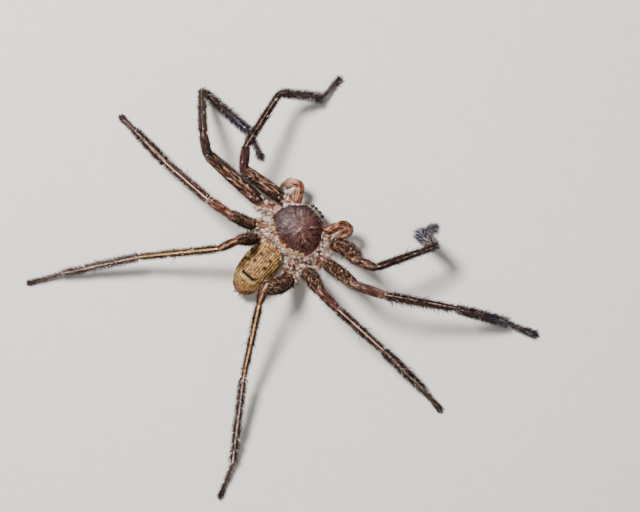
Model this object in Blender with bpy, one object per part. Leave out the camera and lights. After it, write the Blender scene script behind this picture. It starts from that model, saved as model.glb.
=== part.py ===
"""Huntsman spider, a still model at life size, standing on the tips of its eight legs.

The head points to -Y, the animal's right side is at -X and its back faces +Z. Every form is first set out
from the groove in the middle of the carapace, at floor level, and the whole model is moved at the end so
that the origin lies under the middle of its box.
"""

import math
import random

import bmesh
import bpy
from mathutils import Matrix, Vector
from mathutils.bvhtree import BVHTree

MM = 0.001

# Driving sizes
CARAPACE_LENGTH = 10.2 * MM
CARAPACE_WIDTH = 10.3 * MM
ABDOMEN_LENGTH = 11.05 * MM
ABDOMEN_WIDTH = 6.8 * MM
FEMUR_RADIUS = 1.2 * MM
HIP_HEIGHT = 3.9 * MM
GAP = 0.3 * MM
EYE_GAP = 0.12 * MM

# Each leg's hip, from the groove, then length, heading and slope of femur, patella, tibia and metatarsus,
# and length and heading of the tarsus, which slopes down to the floor. Millimetres and degrees.
LEG_POSES = {
    "l1": (
        (5.4, -1.6), (12.1, 12.5, 36), (4.7, -50.5, 28.5), (12.6, -73, -18),
        (10.8, -133.5, -42.5), (5.1, -84),
    ),
    "l2": (
        (7.0, 2.2), (15.7, 6, 21), (6.0, -35.5, 53), (13.8, -35.5, -47.5),
        (12.1, -173.5, -12.5), (5.5, 162.5),
    ),
    "l3": (
        (5.9, 6.2), (10.2, 22.5, 62.5), (4.9, 13, 7.5), (12.8, 7.5, -30),
        (10.7, 3, -32), (4.0, 3.5),
    ),
    "l4": (
        (4.1, 7.8), (10.8, 54, 75.5), (4.3, 72, -24.5), (16.4, 53.5, -19),
        (16.7, 59.5, -19), (6.9, 63.5),
    ),
    "r1": (
        (-5.9, -2.4), (11.4, -167.5, 58), (4.2, -154.5, 32), (12.3, -113, -16),
        (10.2, -1, -70), (4.0, -112),
    ),
    "r2": (
        (-7.8, 1.2), (13.7, -168, 58.5), (5.8, -151, 6), (14.8, -143, -22),
        (13.6, -148, -36.5), (6.4, -155),
    ),
    "r3": (
        (-6.6, 4.8), (10.4, 174.5, 63.5), (4.9, -177.5, 4.5), (13.0, -174.5, -26.5),
        (12.4, -177, -28), (5.7, 178),
    ),
    "r4": (
        (-5.8, 7.4), (11.3, 67.5, 63.5), (3.8, 120, -25), (15.6, 125, -21),
        (17.6, 130, -16.5), (7.2, 117.5),
    ),
}
# Where each pair's coxae leave the breastplate, at the left side, and how high, in hip heights
COXA_ROOTS = {"1": (1.5, -1.0), "2": (1.9, 0.5), "3": (1.9, 2.2), "4": (1.3, 3.6)}
COXA_LEVEL = 0.8
# How far a coxa ends before the hip, which leaves the joint's gap
COXA_SHORTFALL = 0.85 * MM
COXA_SHAPE = ((0.0, 0.7), (0.4, 0.88), (1.0, 0.84))
# Fourth legs are slimmer beyond the knee than the others
LEG_STOUTNESS = {"1": 1.0, "2": 1.0, "3": 0.95, "4": 0.9}
# Thighs turn their broad side up to a different degree, and four of them bow outwards at the middle, by
# this many millimetres
THIGH_STOUTNESS = {
    "l1": 1.12, "l2": 1.08, "l3": 1.0, "l4": 1.0, "r1": 1.27, "r2": 1.12, "r3": 1.15, "r4": 1.35,
}
THIGH_BOWS = {"r1": (-0.06, -0.6), "r2": (0.05, -0.25), "r3": (-0.06, -0.28), "r4": (-0.8, 0.5)}

# Thickness along each piece of a leg: (part of its length, part of the femur's radius)
FEMUR_SHAPE = (
    (-0.03, 0.6), (0.0, 0.8), (0.05, 0.82), (0.09, 0.72), (0.2, 0.95), (0.4, 1.0), (0.75, 0.92), (1.0, 0.8),
)
PATELLA_SHAPE = ((0.0, 0.78), (0.5, 0.84), (1.0, 0.72))
TIBIA_SHAPE = ((0.0, 0.62), (0.1, 0.68), (0.5, 0.64), (1.0, 0.54))
METATARSUS_SHAPE = ((0.0, 0.48), (0.5, 0.46), (1.0, 0.38))
TARSUS_SHAPE = ((0.0, 0.36), (0.6, 0.37), (1.0, 0.4))
FOOT_HEIGHT = 0.36 * MM
# Rounded ends: how far beyond the last section, and how thick there, in parts of its radius
DOME = ((0.55, 0.8), (0.92, 0.35))

SPINE_RADIUS = 0.26 * MM
SPINE_LENGTH = 2.1 * MM
SPINE_LEAN = math.radians(48)
# Spines of each piece: (part of its length, turn from straight up about the leg, in degrees)
FEMUR_SPINES = ((0.45, 0), (0.62, 62), (0.62, -62), (0.8, 0))
TIBIA_SPINES = ((0.3, 140), (0.3, -140), (0.52, 78), (0.52, -78), (0.72, 145), (0.72, -145))
METATARSUS_SPINES = ((0.25, 130), (0.25, -130), (0.5, 80), (0.5, -80))

# Sections of the body, front to back: (place from the groove, half width, top, bottom), in millimetres
# for a carapace and an abdomen of the driving sizes. Each section is widest this part of the way up.
WIDEST_LEVEL = 0.35
CARAPACE_SECTIONS = (
    (-4.75, 1.0, 5.9, 4.7), (-4.5, 1.6, 6.35, 4.4), (-4.0, 2.15, 6.8, 4.15), (-3.1, 2.9, 7.05, 4.0),
    (-2.1, 3.85, 7.1, 3.9), (-0.9, 4.7, 7.05, 3.9), (0.4, 5.1, 6.95, 3.9), (1.8, 5.15, 6.8, 3.9),
    (3.1, 4.7, 6.4, 3.9), (4.2, 3.8, 5.8, 3.95), (5.0, 2.75, 5.1, 4.0), (5.4, 1.9, 4.7, 4.1),
)
ABDOMEN_SECTIONS = (
    (5.95, 1.1, 5.3, 4.1), (6.25, 2.0, 6.0, 3.6), (7.2, 2.83, 6.9, 2.8), (8.6, 3.4, 7.6, 2.1),
    (10.2, 3.65, 8.0, 1.7), (12.0, 3.6, 8.1, 1.6), (13.6, 3.3, 7.9, 1.7), (15.0, 2.75, 7.2, 2.0),
    (16.1, 2.1, 6.2, 2.6), (16.75, 1.35, 5.4, 3.2), (17.0, 0.75, 4.9, 3.7),
)
# The abdomen is carried a little turned, with its end to the animal's right, about this place
ABDOMEN_TURN = math.radians(8)
ABDOMEN_PIVOT = (-0.2, 10.2)
STERNUM_SECTIONS = (
    (-2.5, 0.9, 3.3, 2.5), (-1.9, 1.7, 3.6, 2.2), (-0.6, 2.4, 3.7, 2.0), (1.0, 2.6, 3.7, 1.95),
    (2.6, 2.2, 3.7, 2.0), (3.8, 1.4, 3.7, 2.3), (4.6, 0.9, 3.7, 2.9),
)
CHELICERA_SECTIONS = ((5.6, 0.7), (5.1, 0.82), (3.6, 0.84), (2.2, 0.75), (1.4, 0.5))
# How far the jaws lean forward at their feet, their distance from the middle, and their fangs' bends
CHELICERA_PLACE = (1.02, -3.75)
CHELICERA_LEAN = 0.0875
FANG_ROOT = (1.05, -4.2, 1.5)
FANG_BENDS = ((0, 0, 0), (-0.15, 0.35, -0.35), (-0.35, 0.9, -0.3))
FANG_RADII = (0.32, 0.28, 0.12)

# The spinnerets' mound and spigots: place, then height and length of each pair, in millimetres
SPINNERET_ROOT = (0.0, 16.3, 3.4)
SPINNERET_HEADING = (0.0, 0.96, -0.28)
SPINNERET_MOUND = ((0.0, 0.75), (0.5, 0.6))
SPIGOT_PAIRS = ((0.3, 1.05), (-0.35, 0.9))
SPIGOT_SPREAD = 0.38
SPIGOT_RADII = (0.32, 0.24)

DRAWN_CARAPACE = (10.15 * MM, 10.3 * MM)
DRAWN_ABDOMEN = (11.05 * MM, 6.8 * MM)

# Feelers: base, two bends and tip, from the groove, in millimetres
PALP_PATHS = {
    "l": ((3.5, -2.3, 3.5), (5.8, -5.3, 5.4), (7.3, -4.7, 5.2), (7.8, -2.95, 4.3)),
    "r": ((-3.5, -2.4, 3.5), (-5.2, -6.5, 6.6), (-6.9, -6.8, 7.3), (-6.4, -4.8, 7.7)),
}
PALP_RADIUS = 0.86 * MM

# The left feeler's root beside the jaws, how thick it is there, and how far it ends before the feeler
PALP_ROOT = (0.9, -1.7, 3.0)
PALP_ROOT_RADIUS = 0.58 * MM
PALP_ROOT_END = 0.72 * MM
PALP_SHORTFALL = 0.5 * MM
PALP_SHAPES = (
    ((0.0, 0.85), (0.5, 1.0), (1.0, 0.9)), ((0.0, 0.9), (1.0, 0.88)), ((0.0, 0.86), (0.5, 0.84), (1.0, 0.6)),
)

# Mouth plates of the left side: front of the breastplate, length and thickness
LIP_ROOT = (0.75, -1.5, 2.75)
LIP_LENGTH = 1.0 * MM
LIP_RADIUS = 0.55 * MM

# The stalk between the front body and the abdomen: both ends and their radii, in millimetres
WAIST_ENDS = ((0.0, 4.9, 3.6), (0.0, 7.5, 4.3))
WAIST_RADII = (0.6, 0.7)

# Eyes of the left side: (name, distance from the middle line, place or height, radius), in millimetres
REAR_EYES = (("posterior_median", 0.7, -3.75, 0.29), ("posterior_lateral", 1.7, -3.6, 0.33))
FRONT_EYES = (("anterior_median", 0.5, 5.9, 0.29), ("anterior_lateral", 1.35, 5.75, 0.37))

COLOURS = {
    "carapace": (0.16, 0.11, 0.09),
    "abdomen": (0.36, 0.25, 0.12),
    "coxae": (0.45, 0.28, 0.2),
    "leg": (0.12, 0.075, 0.05),
    "foot": (0.05, 0.04, 0.06),
    "palp": (0.38, 0.24, 0.18),
    "jaw": (0.1, 0.045, 0.03),
    "eye": (0.01, 0.01, 0.012),
}

draw = random.Random(11)


def clear_scene():
    """Remove every object of the scene that the script is run in."""
    for item in list(bpy.data.objects):
        bpy.data.objects.remove(item, do_unlink=True)


def new_collection(name):
    group = bpy.data.collections.new(name)
    bpy.context.scene.collection.children.link(group)
    return group


clear_scene()
spider = new_collection("Huntsman spider")
workshop = new_collection("Cutters")


def finish(name, colour, roughness=0.6):
    """A Principled material with one colour."""
    material = bpy.data.materials.new(name)
    material.use_nodes = True
    shader = material.node_tree.nodes["Principled BSDF"]
    shader.inputs["Base Color"].default_value = (*COLOURS[colour], 1)
    shader.inputs["Roughness"].default_value = roughness
    shader.inputs["Metallic"].default_value = 0.0
    return material


def add_object(name, bm, group):
    """Put a closed bmesh into the scene, with its faces turned outwards."""
    bmesh.ops.recalc_face_normals(bm, faces=bm.faces)
    mesh = bpy.data.meshes.new(name)
    bm.to_mesh(mesh)
    bm.free()
    item = bpy.data.objects.new(name, mesh)
    group.objects.link(item)
    if group is workshop:
        item.hide_render = True
        item.display_type = "WIRE"
    return item


def lofted(name, sections, group, sides=20, grow=0.0):
    """A closed form through oval sections square to Y, each (y, half width, top, bottom) in metres."""
    bm = bmesh.new()
    rings = []
    for place, (y, half, top, bottom) in enumerate(sections):
        if place == 0:
            y -= grow
        if place == len(sections) - 1:
            y += grow
        level = bottom + WIDEST_LEVEL * (top - bottom)
        ring = []
        for side in range(sides):
            angle = 2 * math.pi * side / sides
            reach = top + grow - level if math.sin(angle) > 0 else level - bottom + grow
            ring.append(bm.verts.new(((half + grow) * math.cos(angle), y, level + reach * math.sin(angle))))
        rings.append(ring)
    for near, far in zip(rings, rings[1:]):
        for side in range(sides):
            bm.faces.new((near[side], near[side - 1], far[side - 1], far[side]))
    bm.faces.new(rings[0])
    bm.faces.new(rings[-1])
    return add_object(name, bm, group)


def sections_in_metres(rows, drawn, wanted):
    """Scale drawn sections from their own length and width to the driving ones."""
    along = wanted[0] / drawn[0] * MM
    across = wanted[1] / drawn[1] * MM
    return [(y * along, half * across, top * MM, bottom * MM) for y, half, top, bottom in rows]


def tube(name, points, radii, group, resolution=3):
    """A round, tapered piece along a few points, made as a bevelled curve and turned into a closed mesh."""
    curve = bpy.data.curves.new(name, "CURVE")
    curve.dimensions = "3D"
    curve.bevel_depth = max(radii)
    curve.bevel_resolution = resolution
    curve.use_fill_caps = True
    spline = curve.splines.new("POLY")
    spline.points.add(len(points) - 1)
    for knot, place, radius in zip(spline.points, points, radii):
        knot.co = (*place, 1)
        knot.radius = radius / curve.bevel_depth
    drawn = bpy.data.objects.new(name + "_line", curve)
    group.objects.link(drawn)
    graph = bpy.context.evaluated_depsgraph_get()
    mesh = bpy.data.meshes.new_from_object(drawn.evaluated_get(graph))
    bpy.data.objects.remove(drawn, do_unlink=True)
    bm = bmesh.new()
    bm.from_mesh(mesh)
    bpy.data.meshes.remove(mesh)
    bmesh.ops.remove_doubles(bm, verts=bm.verts, dist=0.001 * MM)
    return add_object(name, bm, group)


def domed(stations, start=True, end=True):
    """Add a rounded end to (distance, radius) stations at one or both ends."""
    rows = list(stations)
    if start:
        distance, radius = rows[0]
        rows = [(distance - beyond * radius, size * radius) for beyond, size in reversed(DOME)] + rows
    if end:
        distance, radius = rows[-1]
        rows += [(distance + beyond * radius, size * radius) for beyond, size in DOME]
    return rows


def limb(name, start, direction, stations, group, bow=None, grow=0.0):
    """A leg piece along a straight or slightly bowed line, from (distance, radius) stations."""
    first, last = stations[0][0], stations[-1][0]
    points, radii = [], []
    for distance, radius in stations:
        if distance == first:
            distance -= grow
        if distance == last:
            distance += grow
        place = start + direction * distance
        if bow is not None:
            along = (distance - first) / (last - first)
            place = place + bow * math.sin(math.pi * min(max(along, 0.0), 1.0))
        points.append(place)
        radii.append(radius + grow)
    return tube(name, points, radii, group)


def combine(item, operation, others, solver="EXACT"):
    """Apply one Boolean of an object with a collection of closed objects, which are then removed."""
    group = bpy.data.collections.new("operands")
    workshop.children.link(group)
    for other in others:
        group.objects.link(other)
    change = item.modifiers.new(operation, "BOOLEAN")
    change.operation = operation
    change.operand_type = "COLLECTION"
    change.collection = group
    change.solver = solver
    graph = bpy.context.evaluated_depsgraph_get()
    mesh = bpy.data.meshes.new_from_object(item.evaluated_get(graph))
    item.modifiers.clear()
    item.data = mesh
    for other in others:
        bpy.data.objects.remove(other, do_unlink=True)
    bpy.data.collections.remove(group)


def keep_largest(item):
    """Leave an object only its largest closed surface."""
    bm = bmesh.new()
    bm.from_mesh(item.data)
    bmesh.ops.remove_doubles(bm, verts=bm.verts, dist=0.001 * MM)
    unseen = set(bm.faces)
    shells = []
    while unseen:
        shell = {unseen.pop()}
        front = list(shell)
        while front:
            face = front.pop()
            for edge in face.edges:
                for other in edge.link_faces:
                    if other in unseen:
                        unseen.remove(other)
                        shell.add(other)
                        front.append(other)
        shells.append(shell)
    shells.sort(key=lambda shell: sum(face.calc_area() for face in shell))
    for shell in shells[:-1]:
        bmesh.ops.delete(bm, geom=list(shell), context="FACES")
    bmesh.ops.delete(bm, geom=[vert for vert in bm.verts if not vert.link_faces], context="VERTS")
    bm.to_mesh(item.data)
    bm.free()


def complete(item, colour, roughness=0.6):
    """Give a finished piece its material and smooth shading."""
    keep_largest(item)
    item.data.materials.clear()
    item.data.materials.append(finish(item.name, colour, roughness))
    item.data.shade_smooth()


def spine(root, direction, length):
    """One pointed bristle as a slim cone from its root."""
    bm = bmesh.new()
    bmesh.ops.create_cone(bm, cap_ends=True, segments=5, radius1=SPINE_RADIUS, radius2=0.0, depth=length)
    bmesh.ops.translate(bm, verts=bm.verts, vec=(0, 0, length / 2))
    bmesh.ops.remove_doubles(bm, verts=bm.verts, dist=0.001 * MM)
    turn = direction.to_track_quat("Z", "Y").to_matrix().to_4x4()
    bmesh.ops.transform(bm, verts=bm.verts, matrix=Matrix.Translation(root) @ turn)
    return add_object("spine", bm, workshop)


def radius_at(stations, distance):
    """The thickness of a limb at a distance along it."""
    for (near, thin), (far, thick) in zip(stations, stations[1:]):
        if near <= distance <= far:
            return thin + (thick - thin) * (distance - near) / (far - near)
    return stations[-1][1]


def spines_on(start, direction, stations, length, rows, bow=None):
    """Bristles of one leg piece, leaning towards the foot, with their roots sunk in it."""
    side = direction.cross(Vector((0, 0, 1))).normalized()
    up = side.cross(direction)
    first, last = stations[0][0], stations[-1][0]
    bristles = []
    for part, turn in rows:
        distance = (part + draw.uniform(-0.02, 0.02)) * length
        angle = math.radians(turn + draw.uniform(-8, 8))
        outward = up * math.cos(angle) + side * math.sin(angle)
        lean = SPINE_LEAN + draw.uniform(-0.12, 0.12)
        heading = outward * math.cos(lean) + direction * math.sin(lean)
        root = start + direction * distance + outward * (radius_at(stations, distance) - 0.55 * SPINE_RADIUS)
        if bow is not None:
            root = root + bow * math.sin(math.pi * (distance - first) / (last - first))
        bristles.append(spine(root - heading * SPINE_RADIUS, heading, SPINE_LENGTH * draw.uniform(0.9, 1.15)))
    return bristles


def heading_and_slope(heading, slope):
    """A unit vector from its compass angle about +Z and its slope."""
    flat = math.cos(math.radians(slope))
    across = flat * math.cos(math.radians(heading))
    along = flat * math.sin(math.radians(heading))
    return Vector((across, along, math.sin(math.radians(slope))))


def leg_lines(pose):
    """Start, direction and length of the five pieces of a leg, the last one sloping down to the floor."""
    hip, *bends, (foot_length, foot_heading) = pose
    place = Vector((hip[0] * MM, hip[1] * MM, HIP_HEIGHT))
    lines = []
    for length, heading, slope in bends:
        direction = heading_and_slope(heading, slope)
        lines.append((place, direction, length * MM))
        place = place + direction * (length * MM)
    drop = math.degrees(math.asin((place.z - FOOT_HEIGHT) / (foot_length * MM)))
    lines.append((place, heading_and_slope(foot_heading, -drop), foot_length * MM))
    return lines


def stations_of(shape, length, radius):
    return [(part * length, thick * radius) for part, thick in shape]


def coxa_line(leg):
    """Root, direction and length of the hip piece under the carapace."""
    across, back = COXA_ROOTS[leg[1]]
    mirror = 1 if leg[0] == "l" else -1
    root = Vector((mirror * across * MM, back * MM, COXA_LEVEL * HIP_HEIGHT))
    hip = LEG_POSES[leg][0]
    line = Vector((hip[0] * MM, hip[1] * MM, HIP_HEIGHT)) - root
    return root, line.normalized(), line.length - COXA_SHORTFALL


def coxa(leg, grow=0.0):
    root, direction, length = coxa_line(leg)
    stations = stations_of(COXA_SHAPE, length, FEMUR_RADIUS)
    return limb("coxa_" + leg, root, direction, stations, workshop, grow=grow)


def mirrored(place, mirror):
    """A place of the left side, in metres, on the side that is asked for."""
    across, back, height = place
    return Vector((mirror * across, back, height)) * MM


def palp_base(side, grow=0.0):
    """The feeler's root piece, beside the jaws."""
    mirror = 1 if side == "l" else -1
    end = Vector(PALP_PATHS[side][0]) * MM
    start = mirrored(PALP_ROOT, mirror)
    line = end - start
    stations = [(0.0, PALP_ROOT_RADIUS), (line.length - PALP_SHORTFALL, PALP_ROOT_END)]
    return limb("palp_base_" + side, start, line.normalized(), stations, workshop, grow=grow)


def lip_plate(side, grow=0.0):
    """One of the two plates that close the mouth from below."""
    mirror = 1 if side == "l" else -1
    start = mirrored(LIP_ROOT, mirror)
    stations = domed([(0.0, LIP_RADIUS), (LIP_LENGTH, LIP_RADIUS)])
    return limb("lip_" + side, start, Vector((0, -1, 0)), stations, workshop, grow=grow)


def make_carapace(name, group, grow=0.0):
    wanted = (CARAPACE_LENGTH, CARAPACE_WIDTH)
    sections = sections_in_metres(CARAPACE_SECTIONS, DRAWN_CARAPACE, wanted)
    return lofted(name, sections, group, sides=24, grow=grow)


def turn_with_abdomen(item):
    """Turn a form that is drawn straight behind the head to where the abdomen is carried."""
    across, back = (place * MM for place in ABDOMEN_PIVOT)
    turn = Matrix.Translation((across, back, 0)) @ Matrix.Rotation(ABDOMEN_TURN, 4, "Z")
    item.data.transform(turn @ Matrix.Translation((0, -back, 0)))


def make_abdomen(name, group, grow=0.0):
    sections = sections_in_metres(ABDOMEN_SECTIONS, DRAWN_ABDOMEN, (ABDOMEN_LENGTH, ABDOMEN_WIDTH))
    abdomen = lofted(name, sections, group, sides=20, grow=grow)
    turn_with_abdomen(abdomen)
    return abdomen


def sternum_plate(name, group, grow=0.0):
    sections = sections_in_metres(STERNUM_SECTIONS, (1, 1), (1, 1))
    return lofted(name, sections, group, sides=16, grow=grow)


def waist(grow=0.0):
    """The thin stalk that carries the abdomen."""
    start, end = (Vector(place) * MM for place in WAIST_ENDS)
    line = end - start
    stations = [(0.0, WAIST_RADII[0] * MM), (line.length, WAIST_RADII[1] * MM)]
    return limb("waist", start, line.normalized(), stations, workshop, grow=grow)


def surface_of(item):
    bm = bmesh.new()
    bm.from_mesh(item.data)
    tree = BVHTree.FromBMesh(bm)
    bm.free()
    return tree


def eye_places(carapace):
    """Centres of the eight eyes, each sunk a little in the carapace's own surface."""
    shell = surface_of(carapace)
    places = []
    for side, mirror in (("l", 1), ("r", -1)):
        for name, across, back, radius in REAR_EYES:
            above = Vector((mirror * across * MM, back * MM, 20 * MM))
            hit, normal, _, _ = shell.ray_cast(above, Vector((0, 0, -1)))
            places.append((f"eye_{name}_{side}", hit + normal * (0.15 * radius * MM), radius * MM))
        for name, across, height, radius in FRONT_EYES:
            ahead = Vector((mirror * across * MM, -20 * MM, height * MM))
            hit, normal, _, _ = shell.ray_cast(ahead, Vector((0, 1, 0)))
            places.append((f"eye_{name}_{side}", hit + normal * (0.15 * radius * MM), radius * MM))
    return places


def ball(name, centre, radius, group):
    bm = bmesh.new()
    bmesh.ops.create_uvsphere(bm, u_segments=8, v_segments=6, radius=radius)
    bmesh.ops.translate(bm, verts=bm.verts, vec=centre)
    return add_object(name, bm, group)


def build_carapace_and_eyes():
    carapace = make_carapace("carapace", spider)
    places = eye_places(carapace)
    sockets = [ball("socket", centre, radius + EYE_GAP, workshop) for _, centre, radius in places]
    combine(carapace, "DIFFERENCE", sockets)
    complete(carapace, "carapace")
    for name, centre, radius in places:
        complete(ball(name, centre, radius, spider), "eye", roughness=0.1)


def build_sternum():
    """Breastplate, the eight hip pieces, the feelers' roots and the mouth's plates, as one node."""
    sternum = sternum_plate("sternum_and_coxae", spider)
    pieces = [coxa(leg) for leg in LEG_POSES]
    pieces += [palp_base(side) for side in "lr"]
    pieces += [lip_plate(side) for side in "lr"]
    combine(sternum, "UNION", pieces)
    combine(sternum, "DIFFERENCE", [make_carapace("above", workshop, grow=GAP)])
    complete(sternum, "coxae")


def build_abdomen():
    abdomen = make_abdomen("abdomen", spider)
    combine(abdomen, "UNION", [waist()])
    cutters = [make_carapace("ahead", workshop, grow=GAP), sternum_plate("plate", workshop, grow=GAP)]
    cutters += [coxa(leg, grow=GAP) for leg in ("l4", "r4")]
    combine(abdomen, "DIFFERENCE", cutters)
    complete(abdomen, "abdomen")


def build_spinnerets():
    """Two pairs of short silk spigots at the end of the abdomen, on one small mound."""
    rear = Vector(SPINNERET_ROOT) * MM
    stations = [(distance * MM, radius * MM) for distance, radius in SPINNERET_MOUND]
    mound = limb("spinnerets", rear, Vector(SPINNERET_HEADING), domed(stations), spider)
    cones = []
    for mirror in (1, -1):
        for height, length in SPIGOT_PAIRS:
            start = rear + Vector((mirror * SPIGOT_SPREAD, 0, height)) * MM
            heading = Vector((mirror * 0.2, 1, 0.25 * height)).normalized()
            stations = domed([(0.0, SPIGOT_RADII[0] * MM), (length * MM, SPIGOT_RADII[1] * MM)])
            cones.append(limb("spigot", start, heading, stations, workshop))
    combine(mound, "UNION", cones)
    turn_with_abdomen(mound)
    combine(mound, "DIFFERENCE", [make_abdomen("ahead", workshop, grow=GAP)])
    complete(mound, "coxae")


def build_chelicerae():
    """The two jaws under the eyes, each with its fang folded in."""
    for side, mirror in (("l", 1), ("r", -1)):
        points, radii = [], []
        across, ahead = CHELICERA_PLACE
        for height, radius in CHELICERA_SECTIONS:
            lean = CHELICERA_LEAN * (CHELICERA_SECTIONS[0][0] - height)
            points.append(mirrored((across, ahead - lean, height), mirror))
            radii.append(radius * MM)
        jaw = tube("chelicera_" + side, points, radii, spider)
        knuckle = mirrored(FANG_ROOT, mirror)
        curl = [knuckle + mirrored(step, mirror) for step in FANG_BENDS]
        fang = tube("fang", curl, [radius * MM for radius in FANG_RADII], workshop)
        combine(jaw, "UNION", [fang])
        cutters = [lip_plate(near, grow=GAP) for near in "lr"]
        cutters.append(make_carapace("above", workshop, grow=GAP))
        combine(jaw, "DIFFERENCE", cutters)
        complete(jaw, "jaw", roughness=0.3)


def palp_piece(side, index, group, name="grown", grow=0.0):
    start, end = (Vector(point) * MM for point in PALP_PATHS[side][index:index + 2])
    line = end - start
    stations = domed(stations_of(PALP_SHAPES[index], line.length, PALP_RADIUS), start=False)
    return limb(name, start, line.normalized(), stations, group, grow=grow)


def build_palps():
    """The two short feelers beside the jaws, bent back on themselves."""
    for side in "lr":
        for index, name in enumerate(("femur", "tibia", "tarsus")):
            piece = palp_piece(side, index, spider, name=f"palp_{side}_{name}")
            if index == 0:
                cutters = [palp_base(side, grow=GAP), coxa(side + "1", grow=GAP)]
                cutters.append(make_carapace("above", workshop, grow=GAP))
            else:
                cutters = [palp_piece(side, index - 1, workshop, grow=GAP)]
            combine(piece, "DIFFERENCE", cutters)
            complete(piece, "palp")


def leg_stations(lines, stoutness, thigh):
    """Stations of the five pieces of a leg, with their far ends rounded."""
    shapes = (FEMUR_SHAPE, PATELLA_SHAPE, TIBIA_SHAPE, METATARSUS_SHAPE, TARSUS_SHAPE)
    rows = []
    for index, (shape, (_, _, length)) in enumerate(zip(shapes, lines)):
        radius = FEMUR_RADIUS * (thigh if index == 0 else stoutness)
        rows.append(domed(stations_of(shape, length, radius), start=False))
    return rows


def cut_at_floor(item):
    """Flatten a foot where it meets the floor."""
    bm = bmesh.new()
    bm.from_mesh(item.data)
    everything = bm.verts[:] + bm.edges[:] + bm.faces[:]
    cut = bmesh.ops.bisect_plane(
        bm, geom=everything, dist=1e-7, plane_co=(0, 0, 0), plane_no=(0, 0, 1), clear_inner=True
    )
    rim = [part for part in cut["geom_cut"] if isinstance(part, bmesh.types.BMEdge)]
    bmesh.ops.contextual_create(bm, geom=rim)
    bmesh.ops.recalc_face_normals(bm, faces=bm.faces)
    bm.to_mesh(item.data)
    bm.free()


def build_leg(leg):
    """Femur with its small trochanter, patella, tibia, metatarsus and tarsus, each in its own node."""
    lines = leg_lines(LEG_POSES[leg])
    rows = leg_stations(lines, LEG_STOUTNESS[leg[1]], THIGH_STOUTNESS[leg])
    thigh_bow = Vector((*THIGH_BOWS.get(leg, (0, 0)), 0)) * MM
    names = ("femur", "patella", "tibia", "metatarsus", "tarsus")
    bristles = {"femur": FEMUR_SPINES, "tibia": TIBIA_SPINES, "metatarsus": METATARSUS_SPINES}
    for index, (name, (start, direction, length), stations) in enumerate(zip(names, lines, rows)):
        bow = thigh_bow if index == 0 else None
        piece = limb(f"leg_{leg}_{name}", start, direction, stations, spider, bow=bow)
        if name in bristles:
            combine(piece, "UNION", spines_on(start, direction, stations, length, bristles[name], bow=bow))
        if index == 0:
            cutters = [coxa(leg, grow=GAP), make_carapace("above", workshop, grow=GAP)]
        else:
            before, way, _ = lines[index - 1]
            bow = thigh_bow if index == 1 else None
            cutters = [limb("parent", before, way, rows[index - 1], workshop, bow=bow, grow=GAP)]
        combine(piece, "DIFFERENCE", cutters)
        if name == "tarsus":
            cut_at_floor(piece)
        complete(piece, "foot" if name == "tarsus" else "leg")


def centre_on_origin():
    """Move every piece so that the origin is under the middle of the whole model's box."""
    corners = [vert.co for item in spider.objects for vert in item.data.vertices]
    low = [min(corner[axis] for corner in corners) for axis in range(3)]
    high = [max(corner[axis] for corner in corners) for axis in range(3)]
    shift = Vector((-(low[0] + high[0]) / 2, -(low[1] + high[1]) / 2, -low[2]))
    for item in spider.objects:
        item.data.transform(Matrix.Translation(shift))


build_carapace_and_eyes()
build_sternum()
build_abdomen()
build_spinnerets()
build_chelicerae()
build_palps()
for each_leg in LEG_POSES:
    build_leg(each_leg)
centre_on_origin()
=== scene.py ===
"""Huntsman spider, a still display model at life size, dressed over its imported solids.

Sizes are in millimetres, set out from the groove in the middle of the carapace at floor level, as the
solids are. The head points to -Y, the animal's left is +X and its back faces +Z.
"""

import math

import bmesh
import bpy
import numpy as np
from mathutils import Matrix, Vector, noise


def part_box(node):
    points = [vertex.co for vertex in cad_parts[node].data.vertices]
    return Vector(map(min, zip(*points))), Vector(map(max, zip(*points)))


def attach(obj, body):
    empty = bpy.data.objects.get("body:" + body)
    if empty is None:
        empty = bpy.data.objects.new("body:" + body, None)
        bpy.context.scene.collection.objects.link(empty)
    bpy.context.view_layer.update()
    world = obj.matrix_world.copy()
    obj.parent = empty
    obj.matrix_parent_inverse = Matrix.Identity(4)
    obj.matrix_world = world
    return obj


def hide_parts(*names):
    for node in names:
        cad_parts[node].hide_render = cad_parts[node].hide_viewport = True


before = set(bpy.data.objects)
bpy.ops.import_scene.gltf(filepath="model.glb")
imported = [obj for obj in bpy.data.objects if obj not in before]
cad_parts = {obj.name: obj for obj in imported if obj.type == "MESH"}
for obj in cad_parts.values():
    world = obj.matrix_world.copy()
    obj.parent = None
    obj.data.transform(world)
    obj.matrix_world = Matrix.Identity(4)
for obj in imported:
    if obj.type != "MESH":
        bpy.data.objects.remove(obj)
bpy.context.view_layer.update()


# Carapace: the shield over the front body, one hard plate of chitin with a groove in its middle and
# shallow furrows that run out from it. Short grey and mauve hairs fan out from the groove over all of it,
# with a white fringe along its foot and cream tufts across its rear edge.
CARAPACE_SECTIONS = (  # place along the body, half width, top and bottom of each oval
    (-4.75, 1.0, 5.9, 4.7), (-4.5, 1.6, 6.35, 4.4), (-4.0, 2.15, 6.8, 4.15), (-3.1, 2.9, 7.05, 4.0),
    (-2.1, 3.85, 7.1, 3.9), (-0.9, 4.7, 7.05, 3.9), (0.4, 5.1, 6.95, 3.9), (1.8, 5.15, 6.8, 3.9),
    (3.1, 4.7, 6.4, 3.9), (4.2, 3.8, 5.8, 3.95), (5.0, 2.75, 5.1, 4.0), (5.4, 1.9, 4.7, 4.1),
)
CARAPACE_FRONT = 4.773
COAT_DEPTH = 0.15
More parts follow.
